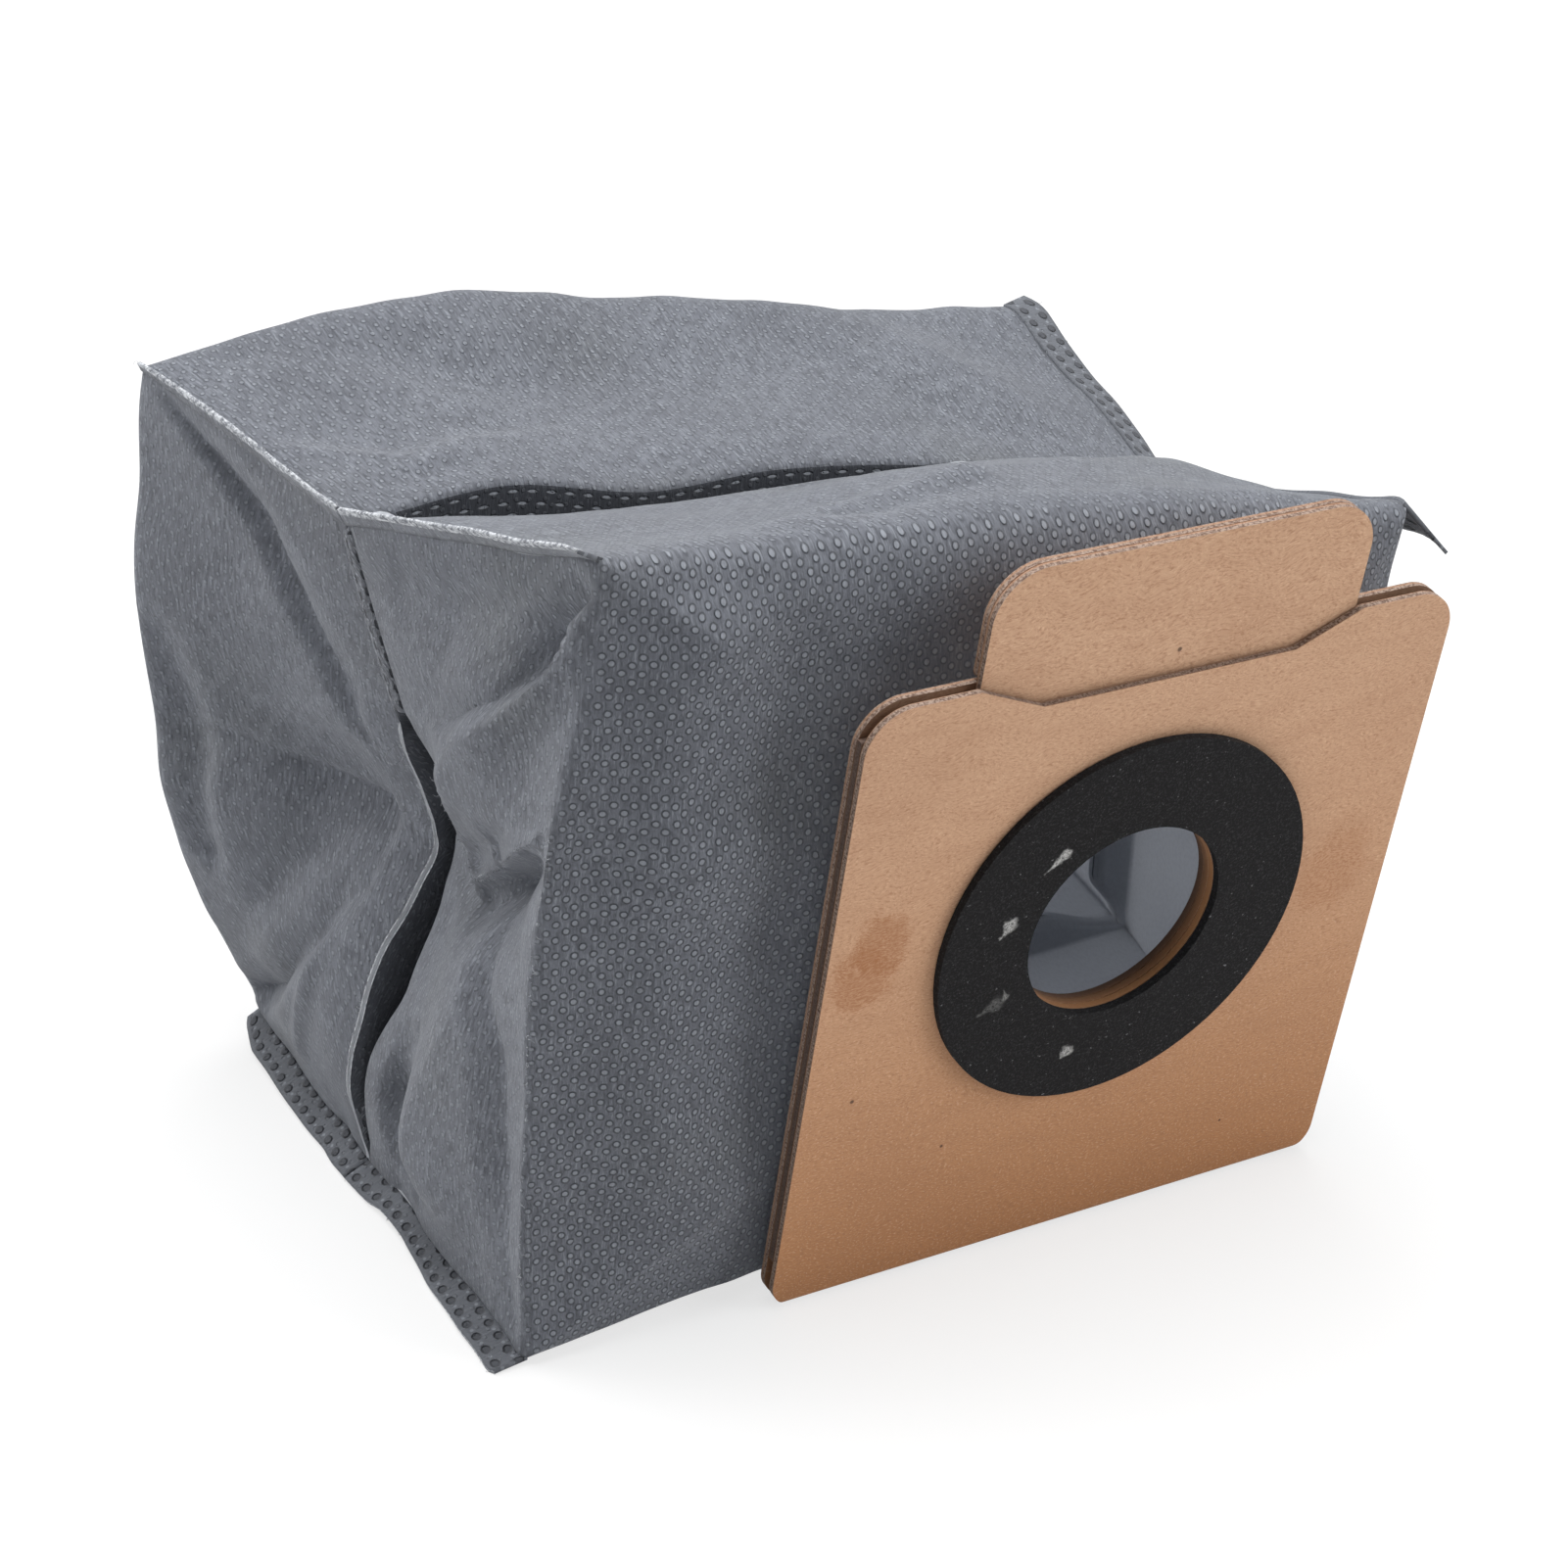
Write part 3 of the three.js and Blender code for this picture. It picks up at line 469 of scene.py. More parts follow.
    def seam_rows(self, toward):
        """Rows from the lip down into the valley and up the flange."""
        gape, step, closed, lay = self.slit()
        swell = gape / SLIT_WIDE
        open_share = np.minimum(1, 4 * swell)
        depth = lerp(SEAM_END_DEPTH, SEAM_DEPTH, self.inside) + SLIT_DEEPER * swell
        depth = lerp(depth, CLOSED_DEPTH, closed)
        lip = lerp(SEAM_LIP, SLIT_LIP, open_share) if toward > 0 else SEAM_LIP
        lip = np.minimum(lip, depth / 2)
        flange = np.full(len(depth), SEAM_WELD_GAP / 2 + CLOTH)
        opening = gape if toward > 0 else 0 * gape
        gap = SEAM_SLIT_GAP * (1 - closed)
        wall = flange + gap + opening
        level = -toward * step / 2
        rows = []
        for angle in np.linspace(LIP_TURN, 0, LIP_STEPS):
            rows.append((wall + lip * (1 - math.cos(angle)), level + lip * (math.sin(angle) - 1)))
        rows.append((wall - VALLEY_TAPER * opening, -VALLEY_KNEE * depth))
        rows.append((flange + gap / 2, -depth))
        stand = np.array([SLIT_STAND.get(name, 0) for name in self.side])
        top = lerp(SEAM_PROUD, step / 2 + stand, open_share)
        lies = np.minimum(1, lay)
        shut = (CLOSED_RISE if toward > 0 else CLOSED_SINK) * lies
        wander = FLANGE_WANDER * self.inside * (1 - closed)
        top = lerp(top, shut, closed) + wander * ripple(RISE_WAVE * self.middle)
        for share in np.linspace(0, 1, FLANGE_STEPS):
            bend = wander * ripple(BEND_WAVE * self.middle + BEND_SHIFT) * share * toward
            away = flange + bend - (lay * share ** 2 if toward > 0 else 0)
            arch = lerp(share, math.sin(share * math.pi / 2), lies)
            rows.append((away, lerp(-FLANGE_FOOT * depth, top, arch)))
        back = np.array([0, -toward, 0])
        return [self.middle + self.normal * up[:, None] + back * away[:, None]
                for away, up in rows]


columns = Columns()
inlet_centre = INLET_RISE * PLATE_UP - (PLATE_THICK + GLUE_GAP) * PLATE_OUT


def glue_circle(radius):
    to_edge = columns.front - inlet_centre
    angle = np.arctan2(to_edge @ PLATE_UP, to_edge @ PLATE_RIGHT)[:, None]
    return inlet_centre + radius * (np.cos(angle) * PLATE_RIGHT + np.sin(angle) * PLATE_UP)


def panel_row(centre, rim, share, folds, out_y):
    """A row of a panel. The front panel's folds also die out towards the inlet, at share 0."""
    point = lerp(centre, rim, share)
    held = fade(share, PANEL_FADE) if out_y < 0 else min(1, PANEL_FADE * (1 - share))
    return point + np.outer(fold_rise(folds, point[:, [0, 2]]) * held, [0, out_y, 0])


# How far from a front or back edge the cloth rounds over, on each side
EDGE_ROUND = {"top": 7, "right": 5, "bottom": 3, "left": 2.2}
ROUND_BLEND = 33
ROUND_PEAK = 0.22
RIPPLE_HEIGHT = 0.75


def rounded(rows, ridge):
    """The rows with the ridge row's edge rounded over, each side by its own radius."""
    grid = np.array(rows)
    radius = np.array([EDGE_ROUND[name] for name in columns.side], float)
    blur = np.hanning(ROUND_BLEND + 2)[1:-1]
    wrapped = np.pad(radius, ROUND_BLEND // 2, "wrap")
    radius = np.convolve(wrapped, blur / blur.sum(), "valid")[None, :]
    run = run_along(grid)
    run = run - run[ridge]
    result = grid.copy()
    for i in range(grid.shape[1]):
        r = radius[0, i]
        before = np.array([np.interp(-r, run[:, i], grid[:, i, k]) for k in range(3)])
        after = np.array([np.interp(r, run[:, i], grid[:, i, k]) for k in range(3)])
        peak = grid[ridge, i] + ROUND_PEAK * (grid[ridge, i] - (before + after) / 2)
        near = np.abs(run[:, i]) < r
        t = ((run[near, i] + r) / (2 * r))[:, None]
        result[near, i] = (1 - t) ** 2 * before + 2 * t * (1 - t) * peak + t ** 2 * after
    return result


def sheet_grid(toward):
    """Rows of outer points, the row of the ridge and the row where the flange starts."""
    if toward > 0:
        glued = glue_circle(CLOTH_INLET_R + GLUE_RING_WIDTH)
        rows = [lerp(glue_circle(CLOTH_INLET_R), glued, share) for share in (0, 0.5)]
        rows += [panel_row(glued, columns.front, share, FRONT_PANEL_FOLDS, -1)
                 for share in np.linspace(0, 1, PANEL_ROWS, endpoint=False)]
        for share, row in zip(np.linspace(0, 1, PANEL_ROWS, endpoint=False), rows[2:]):
            row[:, 1] -= crease_rise(PANEL_CREASES, row[:, [0, 2]]) * fade(share, PANEL_FADE)
    else:
        middle = columns.back.mean(0)
        rows = [panel_row(middle, columns.back, share, BACK_PANEL_FOLDS, 1)
                for share in np.linspace(PANEL_MIDDLE, 1, PANEL_ROWS, endpoint=False)]
    ridge = len(rows)
    rows += [columns.side_point(near, toward) for near in np.linspace(0, 1, SIDE_ROWS)]
    lip = len(rows)
    grid = rounded(rows, ridge)
    seam = np.array(columns.seam_rows(toward))
    ramp = np.ones(len(grid))
    if toward > 0:
        ramp[:3] = 0
        ramp[3:9] = np.linspace(0, 1, 6)
    ramp[-3:] = np.linspace(0.8, 0.2, 3)
    normals = grid_normals(grid) * (1 if toward > 0 else -1)
    grid += normals * (RIPPLE_HEIGHT * ripple(grid.reshape(-1, 3)).reshape(grid.shape[:2])
                       * ramp[:, None])[..., None]
    return np.concatenate([grid, seam]), ridge, lip, lip + LIP_STEPS + 2


def grid_normals(grid):
    """Unit normals of a grid that closes round its columns, out of the front sheet."""
    across = np.roll(grid, -1, 1) - np.roll(grid, 1, 1)
    down = np.gradient(grid, axis=0)
    cross = np.cross(across, down)
    return cross / np.maximum(np.linalg.norm(cross, axis=2, keepdims=True), 1e-9)


sheets = {toward: sheet_grid(toward) for toward in (1, -1)}


def corner_edge(name, toward):
    """Even points of a sheet's own edge along one of the bag's corners, up to the seam."""
    grid, ridge, lip, _ = sheets[toward]
    side = next(side for side, start, _, _ in SIDES if start == name)
    column = int(np.argmax(columns.side == side))
    seam = MIDDLE_CORNERS[name] + [0, -toward * SEAM_WELD_GAP / 2, 0]
    line = np.vstack([grid[ridge:lip, column], seam])
    run = run_along(line)
    at = np.linspace(0, run[-1], FIN_STEPS + 1)
    return np.stack([np.interp(at, run, line[:, k]) for k in range(3)], 1)


CLOTH_SLOTS = ["cloth", "cloth_inside", "seam_pale", "seam_dark", "slit", "fin", "raw_edge"]
FAR = 1.0
LEAST_GAPE = 0.25


class MeshParts:
    """Points, faces and what each face carries, gathered before the mesh is made."""

    def __init__(self):
        self.points, self.faces, self.slots = [], [], []
        self.cloth_uv, self.weld_uv, self.relief = [], [], []
        self.count = 0

    def add_points(self, points, relief):
        start = self.count
        self.points.append(np.asarray(points, float).reshape(-1, 3))
        self.relief.append(np.broadcast_to(relief, (len(self.points[-1]),)).astype(float))
        self.count += len(self.points[-1])
        return start

    def add_face(self, indices, slot, cloth_uv, weld_uv=None):
        self.faces.append(tuple(int(i) for i in indices))
        self.slots.append(CLOTH_SLOTS.index(slot))
        self.cloth_uv.extend(cloth_uv)
        self.weld_uv.extend(weld_uv if weld_uv is not None else [(0, FAR)] * len(indices))

    def build(self, name, materials):
        mesh = bpy.data.meshes.new(name)
        mesh.from_pydata(placed(np.concatenate(self.points)).tolist(), [], self.faces)
        for key, values in (("Cloth", self.cloth_uv), ("Weld", self.weld_uv)):
            layer = mesh.uv_layers.new(name=key)
            layer.uv.foreach_set("vector", np.array(values, np.float32).ravel())
        relief = mesh.attributes.new("relief", "FLOAT", "POINT")
        relief.data.foreach_set("value", np.concatenate(self.relief).astype(np.float32))
        for slot in CLOTH_SLOTS:
            mesh.materials.append(materials[slot])
        mesh.polygons.foreach_set("material_index", self.slots)
        mesh.polygons.foreach_set("use_smooth", [True] * len(self.faces))
        mesh.update()
        return add_object(name, mesh)


FLANGE_THIN = [0.75, 0.35]
RELIEF = {"top": 0.45, "right": 0.4, "bottom": 0.5, "left": 0.3}


def sheet_mesh(toward):
    grid, ridge, lip, flange = sheets[toward]
    rows, count = grid.shape[:2]
    normals = grid_normals(grid) * (1 if toward > 0 else -1)
    if toward > 0:
        normals[:2] = normals[2]
    parts = MeshParts()
    side_relief = np.array([RELIEF[name] for name in columns.side])
    relief = np.tile(side_relief, (rows, 1))
    relief[:ridge] = 1.0 if toward > 0 else 0.5
    outer = parts.add_points(grid, relief.ravel())
    thick = np.full(rows, CLOTH)
    thick[-2:] *= FLANGE_THIN
    inner = parts.add_points(grid - normals * thick[:, None, None], 0)

    # Flat coordinates of the cloth: the panel as it is, and the sides unrolled round it
    run = run_along(grid)
    run = run - run[ridge]
    up = grid[flange:, :]
    rise = np.linalg.norm(up - up[-1], axis=2)
    along = run_along(columns.middle)

    def flat(row, i, side_column):
        if row <= ridge:
            return grid[row, i, [0, 2]] * MM
        out = columns.out[side_column][[0, 2]]
        return (grid[ridge, i, [0, 2]] + out * run[row, i]) * MM

    def welded(row, i, step):
        column = (i + (step > 0)) % count
        if row < flange:
            down = np.linalg.norm(grid[row, column] - grid[valley, column])
            return ((along[i] + step) * MM, down * MM)
        return ((along[i] + step) * MM, rise[row - flange, column] * MM)

    flip = toward < 0
    valley = lip + LIP_STEPS - 2
    gapes = columns.slit()[0] > LEAST_GAPE
    for row in range(rows - 1):
        for i in range(count):
            j = (i + 1) % count
            corners = [(row, i), (row, j), (row + 1, j), (row + 1, i)]
            pitch = np.linalg.norm(columns.middle[j] - columns.middle[i])
            cloth_uv = [flat(r, c, i) for r, c in corners]
            weld_uv = None
            slot = "cloth"
            if row >= flange or (row >= valley and gapes[i]):
                weld_uv = [welded(row, i, 0), welded(row, i, pitch),
                           welded(row + 1, i, pitch), welded(row + 1, i, 0)]
                slot = "slit" if gapes[i] else "seam_dark"
                if columns.side[i] == "top" and (gapes[i] or row >= flange):
                    slot = "seam_pale"
            quad = [outer + r * count + c for r, c in corners]
            back = [inner + r * count + c for r, c in corners]
            order = [0, 3, 2, 1] if flip else [0, 1, 2, 3]
            parts.add_face([quad[k] for k in order], slot, [cloth_uv[k] for k in order],
                           weld_uv and [weld_uv[k] for k in order])
            order = order[::-1]
            parts.add_face([back[k] for k in order], "cloth_inside", [cloth_uv[k] for k in order])
    rims = [rows - 1] + ([0] if toward > 0 else [])
    for row in rims:
        for i in range(count):
            j = (i + 1) % count
            quad = [outer + row * count + i, outer + row * count + j,
                    inner + row * count + j, inner + row * count + i]
            if (row == 0) == (toward > 0):
                quad = quad[::-1]
            uv = [flat(row, k, i) for k in (i, j, j, i)]
            frayed = row == 0 or (columns.side[i] == "left" and gapes[i])
            parts.add_face(quad, "raw_edge" if frayed else "cloth", uv)
    if toward < 0:
        middle = grid[0].mean(0)
        for start, shift, slot in ((outer, 0, "cloth"), (inner, CLOTH, "cloth_inside")):
            cap = parts.add_points([middle - [0, shift, 0]], 0.5)
            for i in range(count):
                j = (i + 1) % count
                triangle = [cap, start + i, start + j]
                uv = [middle[[0, 2]] * MM, grid[0, i, [0, 2]] * MM, grid[0, j, [0, 2]] * MM]
                if slot == "cloth_inside":
                    triangle, uv = triangle[::-1], uv[::-1]
                parts.add_face(triangle, slot, uv)
    return parts


# Waves of the fins' raw edges: how far the edge wanders in width and how far it bends sideways
FIN_WAVE = {"topLeft": (0.3, 0.5), "topRight": (0.3, 0.4), "bottomRight": (0.4, 0.6),
            "bottomLeft": (0.6, 0.9)}
FIN_WANDER_SCALE = 0.8
FIN_BEND_SCALE = 0.6
FIN_HALF_THICK = 0.42
FIN_BEND_SHIFT = 90
FIN_BEND_POWER = 1.5
FIN_TAPER = 0.35
FIN_RELIEF = 0.3
# How many steps from the end an ear dies out in, and how fast a stretched one does and a bend does
EAR_STEPS = 2.2
END_FADE = 6
# Where the fins lie in the cloth's flat coordinates, away from the sheet, in metres
FIN_CLOTH_SHIFT = 0.3
SHORT_EAR = {"topLeft": 0.15, "bottomLeft": 0.1}


def add_fin(parts, name, toward):
    front, middle, back = (np.array(d, float) for d in FIN_DIRECTIONS[name])
    at_end = front if toward > 0 else back
    stretch = EAR_STRETCH.get(name, 1) if toward > 0 else 1
    wander, bend = FIN_WAVE[name]
    share = np.linspace(0, 1, FIN_STEPS + 1)
    direction = unit(lerp(at_end, middle, share[:, None]))
    flat = unit(np.cross([0, 1, 0], direction))
    root = corner_edge(name, toward) - direction * FIN_ROOT_SINK
    ear = np.exp(-share * FIN_STEPS / EAR_STEPS)
    width = FIN_WIDTH * (1 + (stretch - 1) * np.exp(-share * END_FADE)) + FIN_ROOT_SINK
    if name in FIN_OUTLINE:
        whole = share / 2 if toward > 0 else 1 - share / 2
        width = width * np.interp(whole, *zip(*FIN_OUTLINE[name]))
    width = width + wander * ripple(FIN_WANDER_SCALE * root)
    bends = bend * ripple(FIN_BEND_SCALE * root + FIN_BEND_SHIFT) * smooth(END_FADE * (1 - share))
    rows = []
    for across in np.linspace(0, 1, FIN_ROWS + 1):
        point = root + direction * (width * across)[:, None]
        point = point + flat * (bends * across ** FIN_BEND_POWER)[:, None]
        point[:, 1] -= toward * FIN_EAR * SHORT_EAR.get(name, 1) * ear * across
        rows.append(point)
    grid = np.array(rows)
    length = run_along(root)
    thick = FIN_HALF_THICK * (1 - FIN_TAPER * np.linspace(0, 1, FIN_ROWS + 1))[:, None, None]
    faces = [parts.add_points(grid + side * thick * flat, FIN_RELIEF) for side in (1, -1)]
    count = FIN_STEPS + 1

    def uv(row, i):
        return (length[i] * MM, (1 - row / FIN_ROWS) * width[i] * MM)

    def quad(a, b, c, d, slot, weld):
        parts.add_face([a, b, c, d], slot, [(u + FIN_CLOTH_SHIFT, v) for u, v in weld], weld)

    for row in range(FIN_ROWS):
        slot = "fin"
        if name == "topLeft":
            slot = "raw_edge" if row >= FIN_ROWS - 2 else "cloth"
        for i in range(FIN_STEPS):
            weld = [uv(row, i), uv(row, i + 1), uv(row + 1, i + 1), uv(row + 1, i)]
            ids = [row * count + i, row * count + i + 1, (row + 1) * count + i + 1,
                   (row + 1) * count + i]
            quad(*[faces[0] + k for k in ids], slot, weld)
            quad(*[faces[1] + k for k in ids[::-1]], slot, weld[::-1])
    rim = ([(0, i) for i in range(count)] + [(r, count - 1) for r in range(1, FIN_ROWS + 1)]
           + [(FIN_ROWS, i) for i in range(count - 2, -1, -1)]
           + [(r, 0) for r in range(FIN_ROWS - 1, -1, -1)])
    for (r0, i0), (r1, i1) in zip(rim, rim[1:]):
        a, b = r0 * count + i0, r1 * count + i1
        weld = [uv(r0, i0), uv(r0, i0), uv(r1, i1), uv(r1, i1)]
        slot = "raw_edge" if r0 == r1 == FIN_ROWS else "fin"
        quad(faces[0] + a, faces[1] + a, faces[1] + b, faces[0] + b, slot, weld)
    return grid[-1]


# Materials

def srgb(red, green, blue):
    """A colour as it is seen, from 0 to 255, as the shader's own numbers."""
    shown = np.array([red, green, blue]) / 255
    linear = np.where(shown <= 0.04045, shown / 12.92, ((shown + 0.055) / 1.055) ** 2.4)
    return (*linear, 1.0)


class Graph:
    """The nodes of a new material or world, with one short call for each kind of node."""

    def __init__(self, name, kind="materials", shader="Principled BSDF"):
        self.owner = getattr(bpy.data, kind).new(name)
        self.owner.use_nodes = True
        self.tree = self.owner.node_tree
        self.shader = self.tree.nodes[shader]

    def put(self, socket, value):
        if isinstance(value, bpy.types.NodeSocket):
            self.tree.links.new(value, socket)
        else:
            socket.default_value = value

    def node(self, kind, inputs=(), **settings):
        node = self.tree.nodes.new(kind)
        for key, value in settings.items():
            setattr(node, key, value)
        for key, value in dict(inputs).items():
            self.put(node.inputs[key], value)
        return node

    def math(self, operation, *values):
        return self.node("ShaderNodeMath", enumerate(values), operation=operation).outputs[0]

    def times(self, first, second):
        return self.math("MULTIPLY", first, second)

    def plus(self, first, second):
        return self.math("ADD", first, second)

    def measure(self, operation, *vectors):
        """The number that a vector operation gives, such as LENGTH or DISTANCE."""
        node = self.node("ShaderNodeVectorMath", enumerate(vectors), operation=operation)
        return node.outputs["Value"]

    def span(self, value, low, high, to_low=0.0, to_high=1.0):
        inputs = {"Value": value, "From Min": low, "From Max": high,
                  "To Min": to_low, "To Max": to_high}
        node = self.node("ShaderNodeMapRange", inputs, interpolation_type="SMOOTHSTEP")
        return node.outputs["Result"]

    def mix(self, factor, first, second):
        node = self.node("ShaderNodeMix", data_type="RGBA")
        self.put(node.inputs[0], factor)
        self.put(node.inputs[6], first)
        self.put(node.inputs[7], second)
        return node.outputs[2]

    def layered(self, colour, layers):
        """The colour under further tones, each shown by the span of its own mask."""
        for mask, span, tone in layers:
            colour = self.mix(self.span(mask, *span), colour, tone)
        return colour

    def uv(self, name):
        return self.node("ShaderNodeUVMap", uv_map=name).outputs["UV"]

    def place(self):
        return self.node("ShaderNodeTexCoord").outputs["Object"]

    def mapped(self, vector, location=(0, 0, 0), rotation=(0, 0, 0), scale=(1, 1, 1)):
        inputs = {"Vector": vector, "Location": location, "Rotation": rotation, "Scale": scale}
        return self.node("ShaderNodeMapping", inputs).outputs["Vector"]

    def noise(self, vector, scale, detail=3.0, roughness=0.55):
        inputs = {"Vector": vector, "Scale": scale, "Detail": detail, "Roughness": roughness}
        return self.node("ShaderNodeTexNoise", inputs).outputs["Fac"]

    def cells(self, vector, scale, randomness):
        inputs = {"Vector": vector, "Scale": scale, "Randomness": randomness}
        node = self.node("ShaderNodeTexVoronoi", inputs, voronoi_dimensions="2D")
        return node.outputs["Distance"]

    def jitter(self, vector, scale, amount):
        """The vector, moved about by a noise."""
        noise = self.node("ShaderNodeTexNoise", {"Vector": vector, "Scale": scale, "Detail": 1.0})
        inputs = {0: noise.outputs["Color"], 1: (amount, amount, 0), 2: vector}
        return self.node("ShaderNodeVectorMath", inputs, operation="MULTIPLY_ADD").outputs[0]

    def blend(self, share, second):
        """Shows a second shader in place of the graph's own by this share."""
        own = self.shader.outputs[0]
        surface = own.links[0].to_socket
        mixed = self.node("ShaderNodeMixShader", {0: share, 1: own, 2: second.outputs[0]})
        self.put(surface, mixed.outputs[0])

    def let_through(self, share, colour):
        """Lets this share of the light through the cloth."""
        self.blend(share, self.node("ShaderNodeBsdfTranslucent", {"Color": colour}))

    def attribute(self, name):
        return self.node("ShaderNodeAttribute", attribute_name=name).outputs["Fac"]

    def parts(self, vector):
        return self.node("ShaderNodeSeparateXYZ", {"Vector": vector}).outputs

    def finish(self, colour, height, depth, roughness, strength=1.0, **sockets):
        bump = self.node("ShaderNodeBump",
                         {"Height": height, "Distance": depth, "Strength": strength})
        self.put(self.shader.inputs["Base Color"], colour)
        self.put(self.shader.inputs["Normal"], bump.outputs["Normal"])
        self.put(self.shader.inputs["Roughness"], roughness)
        for key, value in sockets.items():
            self.put(self.shader.inputs[key.replace("_", " ")], value)
        return self.owner


CLOTH_TONE = srgb(99, 102, 109)
CLOTH_DARK = srgb(74, 76, 82)
CLOTH_OLIVE = srgb(89, 91, 89)
CLOTH_FIN = srgb(84, 87, 93)
CLOTH_PALE = srgb(162, 167, 175)
CLOTH_SHADE = srgb(50, 52, 57)
CLOTH_WELD_DARK_AND_SHADE = srgb(44, 46, 52)
# Painted light: the cloth's inside is far paler than the same cloth outside
CLOTH_INSIDE_PAINTED_LIGHT = srgb(214, 218, 224)
# Painted shade: a near-black cloth tone for the walls deep in the gaping seam and for the top's flange
SLIT_PAINTED_SHADE = srgb(50, 53, 60)
CLOTH_THROUGH = srgb(222, 225, 231)
INSIDE_THROUGH = srgb(244, 245, 248)
THROUGH_SHARE = 0.23
INSIDE_SHARE = 0.45
RAW_PALE = srgb(188, 191, 195)
DOT_PITCH = 0.00175
DOT_EDGE = 0.2
DOT_HALO = 0.42
DOT_HEIGHT = 0.00036
DOT_JITTER = 0.00035
DOT_JITTER_SCALE = 260.0
DOT_RANDOM = 0.14
DOT_SOFT = 0.1
# How pale a dot is on flat and on raised cloth, partly its own tone and partly painted highlight, and how
# dark the painted shade in the ring round it gets
DOT_LIGHT = (0.28, 0.44)
HALO_SHADE_SHARE = 0.95
DOT_SHRINK = 0.11
# Noise scales per metre, and the two ways in which the long fibres run
STRAND_SCALE = 2300.0
STRAND_STRETCH = (1, 0.16, 1)
STRAND_TURNS = (0.9, -0.7)
PATCH_SCALE = 34.0
MOTTLE_SCALE = 520.0
OLIVE_SCALE = 21.0
INSIDE_FIBRE_SCALE = 1800.0
FRAY_SCALE = 1500.0


def cloth_base(graph, tone=CLOTH_TONE):
    """The cloth's colour and height: fibres, soft patches and the lattice of weld dots, whose pale tops
    are partly painted highlight and whose dark rings are painted shade.
    """
    uv = graph.uv("Cloth")
    relief = graph.attribute("relief")
    moved = graph.jitter(uv, DOT_JITTER_SCALE, DOT_JITTER)
    distance = graph.cells(graph.mapped(moved, rotation=(0, 0, math.pi / 4)), 1 / DOT_PITCH, DOT_RANDOM)
    distance = graph.plus(distance, graph.span(relief, 0.0, 1.0, DOT_SHRINK, 0.0))
    dot = graph.span(distance, DOT_EDGE, DOT_EDGE + DOT_SOFT, 1.0, 0.0)
    rise = graph.span(distance, DOT_EDGE - 0.03, DOT_EDGE + 0.08)
    fall = graph.span(distance, DOT_EDGE + DOT_SOFT, DOT_HALO, 1.0, 0.0)
    halo = graph.times(rise, fall)
    one_way, other_way = (
        graph.noise(graph.mapped(uv, rotation=(0, 0, turn), scale=STRAND_STRETCH), STRAND_SCALE, 3.0, 0.7)
        for turn in STRAND_TURNS)
    fibres = graph.times(graph.plus(one_way, other_way), 0.5)
    gaps = graph.math("MINIMUM", one_way, other_way)
    strands = graph.math("MAXIMUM", one_way, other_way)
    patches = graph.noise(graph.place(), PATCH_SCALE, 4.0, 0.6)
    mottle = graph.noise(graph.place(), MOTTLE_SCALE, 4.0, 0.7)
    olive = graph.noise(graph.place(), OLIVE_SCALE, 2.0, 0.5)
    colour = graph.layered(tone, [
        (patches, (0.42, 0.72, 0.0, 0.6), CLOTH_DARK),
        (olive, (0.5, 0.72, 0.0, 0.55), CLOTH_OLIVE),
        (mottle, (0.44, 0.62, 0.0, 0.7), CLOTH_DARK),
        (gaps, (0.32, 0.47, 0.85, 0.0), CLOTH_SHADE),
        (strands, (0.54, 0.7, 0.0, 0.5), CLOTH_PALE),
    ])
    # Painted highlight on the dots, stronger on raised cloth, over their own paler tone; then painted
    # shade in the ring round each dot
    lit = graph.times(dot, graph.span(relief, 0.0, 1.0, *DOT_LIGHT))
    colour = graph.mix(lit, colour, CLOTH_PALE)
    shade = graph.times(halo, graph.times(relief, HALO_SHADE_SHARE))
    colour = graph.mix(shade, colour, CLOTH_WELD_DARK_AND_SHADE)
    raised = graph.times(dot, graph.plus(graph.times(relief, 0.85), 0.15))
    height = graph.plus(raised, graph.times(fibres, 0.7))
    return colour, height


def cloth_material():
    graph = Graph("nonwoven_outside")
    colour, height = cloth_base(graph)
    graph.let_through(THROUGH_SHARE, CLOTH_THROUGH)
    return graph.finish(colour, height, DOT_HEIGHT, 0.82, Sheen_Weight=0.12)


# The inside of the cloth is painted far paler than its outside, a painted light that brightens the bag's
# interior
def inside_material():
    graph = Graph("nonwoven_inside")
    uv = graph.uv("Cloth")
    fibres = graph.noise(graph.mapped(uv, scale=(1, 0.5, 1)), INSIDE_FIBRE_SCALE, 3.0, 0.6)
    colour = graph.mix(graph.span(fibres, 0.3, 0.8, 0.0, 0.25), CLOTH_INSIDE_PAINTED_LIGHT, CLOTH_TONE)
    graph.let_through(INSIDE_SHARE, INSIDE_THROUGH)
    return graph.finish(colour, fibres, 0.00004, 0.85)


# Cloth in the gaping seam, darkened to a painted shade
def slit_shade_material():
    graph = Graph("nonwoven_in_slit_painted_shade")
    colour, height = cloth_base(graph, SLIT_PAINTED_SHADE)
    colour = graph.mix(0.7, colour, SLIT_PAINTED_SHADE)
    return graph.finish(colour, height, DOT_HEIGHT, 0.9)


# The soft rim of a weld mark, as shares of its half width, and a pip's size beside the mark's
MARK_RIM = (0.65, 1.15)
PIP_SIZE = 0.42


